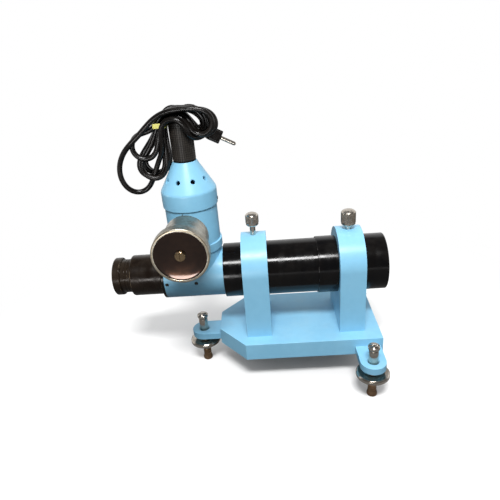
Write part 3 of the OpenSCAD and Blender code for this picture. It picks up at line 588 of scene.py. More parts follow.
# Polished dish: its dark maroon colours are a painted reflection of a dark brown room mirrored in
# the metal.
DISH_PAINTED_REFLECTION = Finish(
    "drum_mirror", (0.028, 0.012, 0.007), (0.052, 0.024, 0.014), (0.60, 0.50, 0.34),
    Surface.TURNED, metallic=1.0, roughness=0.08, coat=0.8, tone_scale=26.0, grain=1000.0,
    relief=0.000001, edge_share=0.3, dust=0.004)
HOLDER_BLACK = Finish(
    "lamp_holder_black", (0.006, 0.005, 0.004), (0.012, 0.010, 0.008), (0.06, 0.05, 0.045),
    Surface.MOULDED, roughness=0.42, rough_drift=0.12, tone_scale=50.0, grain=1500.0,
    relief=0.000008, edge_share=0.35, dust=0.03, specular=0.2)
HOLDER_GRIP = Finish(
    "lamp_holder_black", (0.022, 0.019, 0.016), (0.036, 0.030, 0.025), (0.09, 0.08, 0.07),
    Surface.MOULDED, roughness=0.36, rough_drift=0.12, tone_scale=90.0, grain=1500.0,
    relief=0.000006, edge_share=0.3, dust=0.05, specular=0.3, name="lamp_holder_grip")
SHEATH = Finish(
    "cord_rubber", (0.003, 0.0024, 0.0022), (0.007, 0.005, 0.004), (0.04, 0.03, 0.028),
    Surface.MOULDED, roughness=0.2, rough_drift=0.14, tone_scale=70.0, grain=900.0,
    relief=0.000004, edge_share=0.0, dust=0.015, specular=0.3)
TIE_YELLOW = Finish(
    "tie_yellow", (0.82, 0.80, 0.24), (0.70, 0.66, 0.16), (0.92, 0.90, 0.55),
    Surface.MOULDED, roughness=0.36, grain=1600.0, relief=0.000008, dust=0.04)
INK = Finish(
    "engraving", (0.018, 0.016, 0.015), (0.03, 0.027, 0.025), (0.06, 0.06, 0.06),
    Surface.MOULDED, roughness=0.55, grain=1800.0, relief=0.000005, edge_share=0.0, dust=0.04)
LENS_GLASS = Glass()

BY_SLOT: dict[str, AnyFinish] = {
    finish.slot: finish
    for finish in (ENAMEL, BLACK_TUBE, BLACK_SCREW, BRONZED, NICKEL, BRASS, STEEL, SATIN, DISH_PAINTED_REFLECTION,
                   HOLDER_BLACK, SHEATH, TIE_YELLOW, LENS_GLASS)
}


# ---------------------------------------------------------------- mesh making


def new_object(name: str, mesh: bpy.types.Mesh) -> bpy.types.Object:
    """Links a mesh to the scene as an object at the origin.

    Args:
        name: Name of the object.
        mesh: Its mesh.

    Returns:
        The object.
    """
    made = bpy.data.objects.new(name, mesh)
    bpy.context.scene.collection.objects.link(made)
    return made


def object_of(name: str, mesh: bmesh.types.BMesh) -> bpy.types.Object:
    """Makes an object of a mesh that is complete, and frees the mesh.

    Args:
        name: Name of the object.
        mesh: The mesh.

    Returns:
        The object.
    """
    data = bpy.data.meshes.new(name)
    mesh.to_mesh(data)
    mesh.free()
    return new_object(name, data)


def rounded(corners: Sequence[Corner], steps: int = ROUNDING_STEPS) -> list[Corner]:
    """Rounds the corners of a closed section.

    Args:
        corners: Distance along the axis, radius and rounding of each corner.
        steps: Faces across a rounding.

    Returns:
        Points as distance, radius and how much of an edge each one is, from 0 to 1.
    """
    points: list[Corner] = []
    for i, (x, r, size) in enumerate(corners):
        if size <= 0:
            points.append((x, r, 0.0))
            continue
        here = np.array([x, r])
        back = np.array(corners[i - 1][:2]) - here
        ahead = np.array(corners[(i + 1) % len(corners)][:2]) - here
        back_len, ahead_len = np.linalg.norm(back), np.linalg.norm(ahead)
        reach = min(size, ROUNDING_SHARE * back_len, ROUNDING_SHARE * ahead_len)
        start = here + back / back_len * reach
        end = here + ahead / ahead_len * reach
        for k in range(steps + 1):
            t = k / steps
            place = (1 - t) ** 2 * start + 2 * t * (1 - t) * here + t * t * end
            points.append((float(place[0]), float(place[1]), 1.0 if 0 < k < steps else 0.0))
    return points


def join_rings(mesh: bmesh.types.BMesh, rings: Sequence[list[bmesh.types.BMVert]],
               run: Sequence[float], radius: float) -> None:
    """Joins rings of vertices with smooth faces, and lays the turned map on them.

    Args:
        mesh: Mesh that holds the vertices and the map's layer.
        rings: The rings, with the same number of vertices in each.
        run: Distance along the profile to each ring, and once more to the first if it closes.
        radius: Radius by which a turn becomes a distance in the map.
    """
    uv = mesh.loops.layers.uv["turned"]
    sides = len(rings[0])
    for i in range(len(run) - 1):
        first, second = rings[i], rings[(i + 1) % len(rings)]
        for k in range(sides):
            n = (k + 1) % sides
            face = mesh.faces.new((first[k], first[n], second[n], second[k]))
            face.smooth = True
            spots = ((k, i), (k + 1, i), (k + 1, i + 1), (k, i + 1))
            for loop, (turn, at) in zip(face.loops, spots):
                loop[uv].uv = (turn / sides * TURN * radius, run[at])


def turned(name: str, corners: Sequence[Corner], axis: Axis, origin: Vector,
           segments: int = TURNED_SEGMENTS) -> bpy.types.Object:
    """Turns a closed section into a ring, with a turned map and an edge attribute.

    Args:
        name: Name of the piece.
        corners: Distance along the axis, radius and rounding of each corner, in metres.
        axis: Where the piece's axis points.
        origin: Where the section's zero lies.
        segments: Faces round the piece.

    Returns:
        The piece, with its normals out.
    """
    points = rounded(corners)
    run = [0.0]
    for a, b in zip(points, points[1:] + points[:1]):
        run.append(run[-1] + math.hypot(b[0] - a[0], b[1] - a[1]))
    mesh = bmesh.new()
    edge = mesh.verts.layers.float.new("edge")
    mesh.loops.layers.uv.new("turned")
    rings: list[list[bmesh.types.BMVert]] = []
    for x, r, edge_share in points:
        ring = []
        for k in range(segments):
            angle = TURN * k / segments
            vert = mesh.verts.new((r * math.cos(angle), r * math.sin(angle), x))
            vert[edge] = edge_share
            ring.append(vert)
        rings.append(ring)
    join_rings(mesh, rings, run, max(p[1] for p in points))
    bmesh.ops.recalc_face_normals(mesh, faces=mesh.faces)
    mesh.transform(axis.placed(origin))
    return evened(object_of(name, mesh), TURNED_SHARP_ANGLE)


def evened(piece: bpy.types.Object, sharp: float) -> bpy.types.Object:
    """Shades broad faces flat and roundings smooth.

    Args:
        piece: The piece.
        sharp: Angle in degrees past which an edge stays sharp.

    Returns:
        The piece, with its normals stored.
    """
    piece.data.set_sharp_from_angle(angle=math.radians(sharp))
    normals = piece.modifiers.new("normals", "WEIGHTED_NORMAL")
    normals.keep_sharp = True
    normals.weight = 90
    return settled(piece)


def softened(node: str, width: float, steps: int = ROUNDING_STEPS,
             least: float = LEAST_EDGE_ANGLE) -> bpy.types.Object:
    """Copies a CAD node as one clean skin with its edges rounded.

    Args:
        node: Name of the CAD node.
        width: Width of the rounding in metres.
        steps: Faces across a rounding.
        least: Smallest angle in degrees that counts as an edge.

    Returns:
        The piece, named after the node, with an edge attribute on its roundings.
    """
    mesh = bmesh.new()
    mesh.from_mesh(frame["nodes"][node].data)
    bmesh.ops.remove_doubles(mesh, verts=mesh.verts, dist=WELD_DISTANCE)
    bmesh.ops.dissolve_limit(mesh, angle_limit=math.radians(FLAT_ANGLE), verts=mesh.verts,
                             edges=mesh.edges)
    edge = mesh.verts.layers.float.new("edge")
    sharp = [e for e in mesh.edges
             if e.is_manifold and e.calc_face_angle(0.0) > math.radians(least)]
    result = bmesh.ops.bevel(mesh, geom=sharp, offset=width, segments=steps, profile=0.5,
                             affect="EDGES", clamp_overlap=True)
    rounding = set(result["faces"])
    for face in rounding:
        for vert in face.verts:
            if all(other in rounding for other in vert.link_faces):
                vert[edge] = 1.0
    for face in mesh.faces:
        face.smooth = True
    return evened(object_of(node + "_skin", mesh), SOFTENED_SHARP_ANGLE)


def settled(piece: bpy.types.Object) -> bpy.types.Object:
    """Applies a piece's modifiers to its mesh and removes them.

    Args:
        piece: The piece.

    Returns:
        The piece.
    """
    bpy.context.view_layer.update()
    depsgraph = bpy.context.evaluated_depsgraph_get()
    data = bpy.data.meshes.new_from_object(
        piece.evaluated_get(depsgraph), preserve_all_data_layers=True, depsgraph=depsgraph)
    piece.modifiers.clear()
    piece.data = data
    data.name = piece.name
    return piece


def dress(piece: bpy.types.Object, finish: AnyFinish, body: str, *nodes: str) -> bpy.types.Object:
    """Gives a piece its finish and its body.

    Args:
        piece: The finished piece.
        finish: Its finish.
        body: CAD body that it rides on.
        *nodes: CAD nodes that it stands for.

    Returns:
        The piece.
    """
    piece.data.materials.clear()
    piece.data.materials.append(finish.material())
    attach(piece, body)
    if nodes:
        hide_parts(*nodes)
    log.info("%s on %s: %s, %d faces", piece.name, body, finish.slot, len(piece.data.polygons))
    return piece


# ---------------------------------------------------------------- repeated shapes


class Pattern:
    """A Geometry Nodes tree with named inputs, whose result becomes a plain mesh."""

    KINDS = {float: "NodeSocketFloat", int: "NodeSocketInt",
             bpy.types.Material: "NodeSocketMaterial"}

    def __init__(self, name: str, inputs: dict[str, type]) -> None:
        """Starts the tree.

        Args:
            name: Name of the tree.
            inputs: Name and type of each input; a material input is added to them.
        """
        self.tree = bpy.data.node_groups.new(name, "GeometryNodeTree")
        face = self.tree.interface
        face.new_socket("Geometry", in_out="INPUT", socket_type="NodeSocketGeometry")
        face.new_socket("Geometry", in_out="OUTPUT", socket_type="NodeSocketGeometry")
        self.keys: dict[str, str] = {}
        for key, kind in {**inputs, "Material": bpy.types.Material}.items():
            socket = face.new_socket(key, in_out="INPUT", socket_type=self.KINDS[kind])
            self.keys[key] = socket.identifier
        self.wiring = Wiring(self.tree)
        self.entry = self.wiring.add("NodeGroupInput")

    def use(self, key: str) -> Socket:
        """Gives the socket of a named input."""
        return self.entry.outputs[key]

    def circle(self, angle: Socket, height: Number = 0.0) -> Socket:
        """Gives a place on a circle of the tree's Radius.

        Args:
            angle: Angle from X about Z.
            height: Height of the place.

        Returns:
            The place as a vector.
        """
        w = self.wiring
        across = w.math("MULTIPLY", w.math("COSINE", angle), self.use("Radius"))
        along = w.math("MULTIPLY", w.math("SINE", angle), self.use("Radius"))
        return w.vector(x=across, y=along, z=height)

    def ring(self) -> tuple[Socket, Socket]:
        """Adds Count points round a circle.

        Returns:
            The points, and the turn of each about Z as a vector.
        """
        w = self.wiring
        points = w.add("GeometryNodePoints", Count=self.use("Count")).outputs[0]
        index = w.add("GeometryNodeInputIndex").outputs[0]
        angle = w.math("MULTIPLY", w.math("DIVIDE", index, self.use("Count")), TURN)
        moved = self.moved(points, Position=self.circle(angle))
        return moved, w.vector(z=angle)

    def moved(self, points: Socket, **places: Socket) -> Socket:
        """Moves points to a Position or by an Offset."""
        return self.wiring.add("GeometryNodeSetPosition", Geometry=points, **places).outputs[0]

    def spread(self, points: Socket, shape: Socket, turn: Socket, **scale: Socket) -> Socket:
        """Puts a copy of a shape on each point, turned, and scaled where a Scale is given."""
        return self.wiring.add("GeometryNodeInstanceOnPoints", Points=points, Instance=shape,
                               Rotation=turn, **scale).outputs[0]

    def size(self, length: Number | None = None) -> Socket:
        """Joins Depth, Width and a length, the tree's Length otherwise, to a scale."""
        return self.wiring.vector(x=self.use("Depth"), y=self.use("Width"),
                                  z=self.use("Length") if length is None else length)

    def close(self, shape: Socket) -> "Pattern":
        """Ends the tree with Realize Instances and Set Material.

        Args:
            shape: The shape that the tree has made.

        Returns:
            The pattern.
        """
        whole = self.wiring.add("GeometryNodeRealizeInstances", Geometry=shape).outputs[0]
        dressed = self.wiring.add("GeometryNodeSetMaterial", Geometry=whole,
                                  Material=self.use("Material"))
        self.wiring.add("NodeGroupOutput", in_0=dressed.outputs[0])
        return self

    def made(self, name: str, finish: AnyFinish, place: Matrix,
             host: bpy.types.Object | None = None, **values: Any) -> bpy.types.Object:
        """Runs the tree and gives its result as a plain mesh.

        Args:
            name: Name of the new piece.
            finish: Finish that the tree sets.
            place: Where the tree's origin and axes go.
            host: Piece whose mesh enters the tree; a new empty one otherwise.
            **values: Values of the named inputs.

        Returns:
            The piece at the origin, with its place in its mesh.
        """
        piece = host or new_object(name, bpy.data.meshes.new(name))
        modifier = piece.modifiers.new(name, "NODES")
        modifier.node_group = self.tree
        for key, value in {**values, "Material": finish.material()}.items():
            modifier[self.keys[key]] = value
        settled(piece)
        piece.data.transform(place)
        piece.data.update()
        return piece


UNIT_CUBE: Place = (1.0, 1.0, 1.0)
BLOCK_RING: dict[str, type] = {
    "Count": int, "Radius": float, "Length": float, "Width": float, "Depth": float}


def rib_ring() -> Pattern:
    """Builds straight ribs round a cylinder, as on a knurled head.

    Returns:
        The pattern.
    """
    p = Pattern("rib_ring", BLOCK_RING)
    w = p.wiring
    points, turn = p.ring()
    rib = w.add("GeometryNodeMeshCylinder", Vertices=6, Radius=1.0, Depth=1.0).outputs[0]
    half_width = w.math("MULTIPLY", p.use("Width"), 0.5)
    size = w.vector(x=p.use("Depth"), y=half_width, z=p.use("Length"))
    return p.close(p.spread(points, rib, turn, Scale=size))


def tick_ring() -> Pattern:
    """Builds a drum's graduations: each fifth tick is longer, and each tenth the longest.

    Returns:
        The pattern.
    """
    tolerance, longer = 0.1, 0.45
    p = Pattern("tick_ring", BLOCK_RING)
    w = p.wiring
    points, turn = p.ring()
    index = w.add("GeometryNodeInputIndex").outputs[0]
    fifth = w.math("COMPARE", w.math("MODULO", index, 5.0), 0.0, tolerance)
    tenth = w.math("COMPARE", w.math("MODULO", index, 10.0), 0.0, tolerance)
    share = w.math("ADD", 1.0, w.math("MULTIPLY", w.math("ADD", fifth, tenth), longer))
    length = w.math("MULTIPLY", p.use("Length"), share)
    points = p.moved(points, Offset=w.vector(z=w.math("MULTIPLY", length, 0.5)))
    tick = w.add("GeometryNodeMeshCube", Size=UNIT_CUBE).outputs[0]
    return p.close(p.spread(points, tick, turn, Scale=p.size(length)))


def thread_helix() -> Pattern:
    """Builds the ridge of a screw thread that winds up a shaft.

    Returns:
        The pattern.
    """
    p = Pattern("thread_helix", {"Turns": float, "Radius": float, "Length": float, "Ridge": float})
    w = p.wiring
    path = w.add("GeometryNodeCurveSpiral", Resolution=40, Rotations=p.use("Turns"),
                 Start_Radius=p.use("Radius"), End_Radius=p.use("Radius"),
                 Height=p.use("Length")).outputs[0]
    section = w.add("GeometryNodeCurvePrimitiveCircle", Resolution=5,
                    Radius=p.use("Ridge")).outputs[0]
    ridge = w.add("GeometryNodeCurveToMesh", Curve=path, Profile_Curve=section)
    ridge.inputs["Fill Caps"].default_value = True
    return p.close(ridge.outputs[0])


def vent_ring() -> Pattern:
    """Cuts round holes square to a cone out of the mesh that enters the tree.

    Returns:
        The pattern.
    """
    p = Pattern("vent_ring", {"Count": int, "Radius": float, "Height": float, "Lean": float,
                              "Phase": float, "Hole": float, "Depth": float})
    w = p.wiring
    points, turn = p.ring()
    points = p.moved(points, Offset=w.vector(z=p.use("Height")))
    drill = w.add("GeometryNodeMeshCylinder", Vertices=32, Radius=p.use("Hole"),
                  Depth=p.use("Depth")).outputs[0]
    lean = w.vector(y=w.math("SUBTRACT", TURN / 4, p.use("Lean")))
    drill = w.add("GeometryNodeTransform", Geometry=drill, Rotation=lean).outputs[0]
    drills = p.spread(points, drill, turn)
    drills = w.add("GeometryNodeRealizeInstances", Geometry=drills).outputs[0]
    drills = w.add("GeometryNodeTransform", Geometry=drills,
                   Rotation=w.vector(z=p.use("Phase"))).outputs[0]
    cut = w.add("GeometryNodeMeshBoolean", operation="DIFFERENCE", solver="EXACT")
    w.put(cut.inputs["Mesh 1"], p.use("Geometry"))
    w.put(cut.inputs["Mesh 2"], drills)
    return p.close(cut.outputs["Mesh"])


def pad_grid() -> Pattern:
    """Builds rows of small raised pads round a cylinder, the cross grid of a grip.

    Returns:
        The pattern.
    """
    p = Pattern("pad_grid", {**BLOCK_RING, "Rows": int, "Pitch": float})
    w = p.wiring
    whole = w.math("MULTIPLY", p.use("Count"), p.use("Rows"))
    points = w.add("GeometryNodePoints", Count=whole).outputs[0]
    index = w.add("GeometryNodeInputIndex").outputs[0]
    place_in_row = w.math("MODULO", index, p.use("Count"))
    angle = w.math("MULTIPLY", w.math("DIVIDE", place_in_row, p.use("Count")), TURN)
    row = w.math("FLOOR", w.math("DIVIDE", w.math("ADD", index, 0.5), p.use("Count")))
    height = w.math("MULTIPLY", row, p.use("Pitch"))
    points = p.moved(points, Position=p.circle(angle, height))
    pad = w.add("GeometryNodeMeshCube", Size=UNIT_CUBE).outputs[0]
    return p.close(p.spread(points, pad, w.vector(z=angle), Scale=p.size()))


RIBS = rib_ring()
TICKS = tick_ring()
THREAD = thread_helix()
VENTS = vent_ring()
PADS = pad_grid()


# ---------------------------------------------------------------- studio


@dataclass(frozen=True)
class Softbox:
    """One soft rectangular lamp, with its sizes in metres and its power in watts."""

    name: str
    place: Place
    wide: float
    high: float
    power: float
    lights_matt: bool = True

    def build(self, target: Place) -> None:
        """Hangs the lamp so that it faces a point.

        Args:
            target: The point.
        """
        data = bpy.data.lights.new(self.name, "AREA")
        data.shape = "RECTANGLE"
        data.size = self.wide
        data.size_y = self.high
        data.energy = self.power
        lamp = bpy.data.objects.new(self.name, data)
        bpy.context.scene.collection.objects.link(lamp)
        lamp.location = self.place
        lamp.visible_camera = False
        lamp.visible_diffuse = self.lights_matt
        way = Vector(target) - Vector(self.place)
        lamp.rotation_euler = way.to_track_quat("-Z", "Y").to_euler()


@dataclass
class Studio:
    """Camera, lamps, world and floor, in metres and degrees.

    The sky's level lights matt surfaces, and the room's level is what metal mirrors beside the
    white backdrop. The floor has one colour for the eye, one for the light that it throws on
    matt surfaces and one for metal. It turns white between two distances from the middle, for
    the eye and in metal.
    """

    eye: Place = (0.02485, -0.45435, 0.3619)
    lens_mm: float = 33.36
    sensor_mm: float = 36.0
    nearest: float = 0.01
    yaw: float = -2.68
    down: float = 25.81
    roll: float = -4.77
    aim: Place = (0.0, 0.0, 0.12)
    lamps: tuple[Softbox, ...] = (
        Softbox("key_softbox", (0.04, -0.66, 1.12), 0.42, 0.18, 15.0),
        Softbox("front_strip", (-0.235, -0.90, 0.10), 0.32, 0.16, 2.3, lights_matt=False),
    )
    sky_level: float = 0.98
    room_level: float = 0.13
    floor_size: float = 60.0
    floor_roughness: float = 0.9
    floor_specular: float = 0.1
    floor_seen: Colour = (0.94, 0.94, 0.94)
    floor_lighting: Colour = (0.06, 0.058, 0.056)
    floor_mirrored: Colour = (0.17, 0.167, 0.164)
    seen_white: tuple[float, float] = (0.16, 0.42)
    mirrored_white: tuple[float, float] = (0.5, 1.6)

    def build(self) -> None:
        """Builds everything that isn't the object."""
        bpy.context.scene.view_settings.view_transform = "Standard"
        self.camera()
        for lamp in self.lamps:
            lamp.build(self.aim)
        self.world()
        self.floor()

    def camera(self) -> None:
        """Places the camera at the height and slant that show the object from its front."""
        yaw, down, roll = (math.radians(v) for v in (self.yaw, self.down, self.roll))
        ahead = Vector((math.sin(yaw) * math.cos(down), math.cos(yaw) * math.cos(down),
                        -math.sin(down)))
        right = Vector((math.cos(yaw), -math.sin(yaw), 0.0))
        up = right.cross(ahead)
        turned_right = math.cos(roll) * right + math.sin(roll) * up
        turned_up = -math.sin(roll) * right + math.cos(roll) * up
        data = bpy.data.cameras.new("camera")
        data.sensor_width = self.sensor_mm
        data.lens = self.lens_mm
        data.clip_start = self.nearest
        camera = bpy.data.objects.new("camera", data)
        bpy.context.scene.collection.objects.link(camera)
        turn = Matrix((turned_right, turned_up, -ahead)).transposed().to_4x4()
        camera.matrix_world = Matrix.Translation(Vector(self.eye)) @ turn
        bpy.context.scene.camera = camera

    @staticmethod
    def seen_directly(w: Wiring) -> tuple[Socket, Socket]:
        """Tells apart the rays that show a thing to the eye and those that mirror it.

        Args:
            w: Wiring of the material or the world.

        Returns:
            The mask of each.
        """
        rays = w.add("ShaderNodeLightPath").outputs
        seen = w.math("MAXIMUM", rays["Is Camera Ray"], rays["Is Transmission Ray"])
        return seen, rays["Is Glossy Ray"]

    def world(self) -> None:
        """Lights the object evenly and shows white behind it, in metal and glass too."""
        world = bpy.data.worlds.new("studio")
        world.use_nodes = True
        bpy.context.scene.world = world
        w = Wiring(world.node_tree)
        seen, glossy = self.seen_directly(w)
        way = w.add("ShaderNodeTexCoord").outputs["Generated"]
        parts = w.add("ShaderNodeSeparateXYZ", in_0=way).outputs
        behind, not_above = w.ramp(parts[1], -0.1, 0.3), w.ramp(parts[2], 0.75, 0.5)
        white_share = w.math("MULTIPLY", w.math("MULTIPLY", behind, not_above),
                             1.0 - self.room_level)
        mirrored = w.math("MULTIPLY", glossy, w.math("ADD", self.room_level, white_share))
        matt = w.math("SUBTRACT", 1.0, w.math("MAXIMUM", seen, glossy))
        sky = w.math("MULTIPLY", w.ramp(parts[2], -0.1, 0.9), self.sky_level)
        level = w.math("ADD", w.math("MAXIMUM", seen, mirrored), w.math("MULTIPLY", matt, sky))
        background = world.node_tree.nodes["Background"]
        w.put(background.inputs["Strength"], level)
        background.inputs["Color"].default_value = (1.0, 1.0, 1.0, 1.0)

    def floor(self) -> None:
        """Lays the pale floor, which turns into plain white far from the object."""
        mesh = bmesh.new()
        bmesh.ops.create_grid(mesh, x_segments=2, y_segments=2, size=self.floor_size / 2)
        floor = object_of("floor", mesh)
        made, w, shader = new_material("floor_white")
        shader.inputs["Roughness"].default_value = self.floor_roughness
        shader.inputs["Specular IOR Level"].default_value = self.floor_specular
        seen, glossy = self.seen_directly(w)
        unseen = w.mix(glossy, self.floor_lighting, self.floor_mirrored)
        w.put(shader.inputs["Base Color"], w.mix(seen, unseen, self.floor_seen))
        place = w.add("ShaderNodeTexCoord").outputs["Object"]
        length = w.add("ShaderNodeVectorMath", operation="LENGTH", in_0=place)
        distance = length.outputs["Value"]
        mirrored = w.math("MULTIPLY", glossy, w.ramp(distance, *self.mirrored_white))
        shown = w.math("MULTIPLY", seen, w.ramp(distance, *self.seen_white))
        white = w.add("ShaderNodeEmission", Strength=1.0)
        both = w.add("ShaderNodeMixShader", in_0=w.math("ADD", shown, mirrored),
                     in_1=shader.outputs[0], in_2=white.outputs[0])
        w.put(made.node_tree.nodes["Material Output"].inputs["Surface"], both.outputs[0])
        floor.data.materials.append(made)


# ---------------------------------------------------------------- mains lead


@dataclass
class MainsLead:
    """The limp mains lead, tied in a hank over the lamp holder, with its plug, relief and tie.

    Route points are millimetres from the top of the lamp holder, where the lead leaves it. The
    lead passes the tie six times. The first pass goes round the loose loop and each other one
    round a hanging loop, given as x, y, z and radius. Between two passes it goes round the
    bulge at the right, whose centre moves right and up by a shift each time. Rows are depths,
    which is y: of the six passes in the tie and over the holder, and of the bulge's turns.

    Settling then spaces the strands, opens bends tighter than `tightest`, and keeps the lead
    under `highest`. Points fewer than `neighbours` steps from each other may be close.
    """

    body: str = "lamp"
    thick: float = 5.3
    sides: int = 16
    relief_sides: int = 24
    step: float = 3.6
    skin_step: float = 1.9
    rounds: int = 360
    spacing: float = 5.2
    neighbours: int = 6
    tightest: float = 13.1
    highest: float = 17.0
    relief_len: float = 24.0
    relief_r: float = 4.3
    relief_end: float = 0.25
    hangs: tuple[tuple[float, float, float, float], ...] = (
        (-37.5, -9.0, -22.4, 11.5), (-30.3, -5.0, -44.1, 11.2), (-34.5, 0.0, -41.4, 13.5),
        (-32.0, 5.0, -40.9, 12.0), (-30.5, 10.0, -42.9, 11.3))
    tie_rows: tuple[float, ...] = tuple(-12.25 + 4.9 * i for i in range(6))
    over_rows: tuple[float, ...] = (-15.6, -10.6, -5.6, 5.6, 10.6, 15.6)
    over_outer: float = 12.6
    bag_rows: tuple[float, ...] = (-14.7, -9.8, -4.9, 4.9, 9.8, 14.7)
    bag_centre: tuple[float, float] = (22.0, -6.0)
    bag_r: float = 11.2
    bag_shifts: tuple[tuple[float, float], ...] = (
        (-1.0, 2.5), (0.5, -0.5), (-8.5, 1.0), (-12.0, 0.0), (-15.0, 0.5))
    tie_edge: float = 0.35
    plug_edge: float = 1.0
    plug_least_angle: float = 24.0
    pin_edge: float = 0.5
    tail_len: float = 6.5
    plug_twist: float = -13.0

    def __post_init__(self) -> None:
        """Reads the places of the holder and the tie."""
        holder, tie = "lamp_holder", "cord_tie"
        self.exit = Vector((middle(holder).x, middle(holder).y, high_of(holder).z))
        self.holder_r = half_size(holder, 0) / MM
        place = (middle(tie) - self.exit) / MM
        self.tie_x, self.tie_z = place.x, place.z
        self.plug_tail = self.found_plug_tail()

    def found_plug_tail(self) -> Place:
        """Finds the narrow end of the plug, where the lead goes in.

        Returns:
            Its middle as a route point.
        """
        points = [v.co for v in frame["nodes"]["plug_body"].data.vertices]
        left = min(p.x for p in points)
        end = [p for p in points if p.x < left + self.tail_len * MM]
        inner = sum(end, Vector()) / len(end)
        return tuple((inner - self.exit) / MM)

    @staticmethod
    def arc(centre: tuple[float, float], r: float, angles: tuple[float, float], count: int,
            rows: tuple[float, float]) -> list[Place]:
        """Gives control points round part of a circle in the hank's plane.

        Args:
            centre: Place of the circle's centre to the right and up.
            r: Radius that the spline through the points shall have.
            angles: Degrees at the start and the end, from the right and towards the top.
            count: Spans of the arc.
            rows: Depth, which is y, at the start and the end.

        Returns:
            The points.
        """
        turn = math.radians(angles[1] - angles[0]) / count
        reach = 3 * r / (2 + math.cos(turn))
        points = []
        for i in range(count + 1):
            angle = math.radians(angles[0]) + turn * i
            y = rows[0] + (rows[1] - rows[0]) * i / count
            points.append((centre[0] + reach * math.cos(angle), y,
                           centre[1] + reach * math.sin(angle)))
        return points

    def control_points(self) -> list[Place]:
        """Lays out the lead: out of the holder, round the hank's loops and to the plug.

        Returns:
            The points in the order in which the lead runs through them.
        """
        tie_x, tie_z = self.tie_x, self.tie_z
        bag_x, bag_z = self.bag_centre
        first_over = self.over_rows[0]
        points = [(0, 0, 0), (0, 0, 5), (2, 0, 10), (9, 0, 14.5)]
        points += self.arc((bag_x - 6, bag_z - 0.3), 12, (100, -90), 4, (0, -3))
        points += [(15.5, -9, -9.4), (11, first_over, -1.4), (5.5, first_over, 5.1)]
        for k, (y_over, y_tie) in enumerate(zip(self.over_rows, self.tie_rows)):
            if k:
                points += [(13, y_over, 2.4), (5, y_over, 6.3)]
            points += [(-4, y_over * 0.97, 6.7), (-11.3, (y_over + y_tie) / 2, 4.1),
                       (tie_x + 3.0, y_tie, tie_z), (tie_x + 1.5, y_tie, tie_z - 8)]
            if k == 0:
                points += self.loose_loop(y_over)
            else:
                points += self.hanging_loop(k - 1)
                points += [(tie_x - 3.4, y_tie, tie_z - 6), (tie_x - 2.9, y_tie, tie_z + 1.5)]
            if k < len(self.bag_shifts):
                points += self.bulge(k)
        tail = self.plug_tail
        points += [(-16, 15, 7.6), (-11.5, 22, 11.1), (-3, tail[1], 7.6),
                   (tail[0] - 8.6, tail[1], tail[2] + 11.5), tail]
        return points

    def hanging_loop(self, which: int) -> list[Place]:
        """Gives the points of one hanging loop; the first is entered from lower down.

        Args:
            which: Number of the loop, from 0.

        Returns:
            The points.
        """
        x, y, z, r = self.hangs[which]
        if which == 0:
            return self.arc((x, z), r, (-60, -240), 5, (y + 1.5, y - 1.5))
        return self.arc((x, z), r, (10, -190), 6, (y + 2, y - 2))

    def bulge(self, k: int) -> list[Place]:
        """Gives the points from the tie over the top and round the bulge at the right.

        Args:
            k: Number of the pass through the tie, from 0.

        Returns:
            The points.
        """
        y_over, y_tie = self.over_rows[k], self.tie_rows[k]
        y_from, y_to = self.bag_rows[k:k + 2]
        right, up = self.bag_shifts[k]
        bag_x, bag_z = self.bag_centre
        points = [(-14.5, (y_tie + y_over) / 2, 8.7)] if k else []
        points += [(-5, y_over, self.over_outer - 0.3),
                   (8 + 0.6 * right, (y_over + y_from) / 2, self.over_outer + 1.5 + 0.25 * right)]
        return points + self.arc((bag_x + right, bag_z + up), self.bag_r, (80, -120), 5,
                                 (y_from, y_to))

    @staticmethod
    def loose_loop(y_over: float) -> list[Place]:
        """Gives the points of the loose loop, wide of the hank and back over the tie."""
        return [(-20, -8, -18.9), (-25, -3, -34.9), (-30, -1, -48.9), (-36.5, -1, -61.9),
                (-46, -3, -69.9), (-57, -6, -67.4), (-64.5, -8, -55.9), (-66, -8.5, -41.9),
                (-60.5, -9.5, -28.9), (-52, -11, -19.8), (-43.5, -12, -13.8), (-36, -12, -8.0),
                (-29.5, -12, -0.5), (-22, -12.5, 7.2), (-11, y_over, 11.8)]

    @staticmethod
    def smooth(points: Sequence[Place], parts: int) -> np.ndarray:
        """Runs a cubic B-spline through control points.

        Args:
            points: Control points; the curve starts at the first and ends at the last.
            parts: Points to each span.

        Returns:
            The curve's points.
        """
        line = np.array(points, float)
        line = np.vstack([2 * line[0] - line[1], line, 2 * line[-1] - line[-2]])
        share = np.linspace(0, 1, parts, endpoint=False)[:, None]
        weights = np.hstack([(1 - share) ** 3, 3 * share**3 - 6 * share**2 + 4,
                             -3 * share**3 + 3 * share**2 + 3 * share + 1, share**3]) / 6
        spans = [weights @ line[i:i + 4] for i in range(len(line) - 3)]
        return np.vstack([*spans, line[-2][None, :]])

    @staticmethod
    def run_along(line: np.ndarray) -> np.ndarray:
        """Gives the distance along a line to each of its points."""
        return np.concatenate([[0], np.cumsum(np.linalg.norm(np.diff(line, axis=0), axis=1))])

    def spaced(self, line: np.ndarray, step: float) -> np.ndarray:
        """Spreads points evenly along a line.

        Args:
            line: Points of the line.
            step: Distance between the new points, nearly.

        Returns:
            The new points.
        """
        run = self.run_along(line)
        wanted = np.linspace(0, run[-1], int(round(run[-1] / step)) + 1)
        return np.column_stack([np.interp(wanted, run, line[:, i]) for i in range(3)])

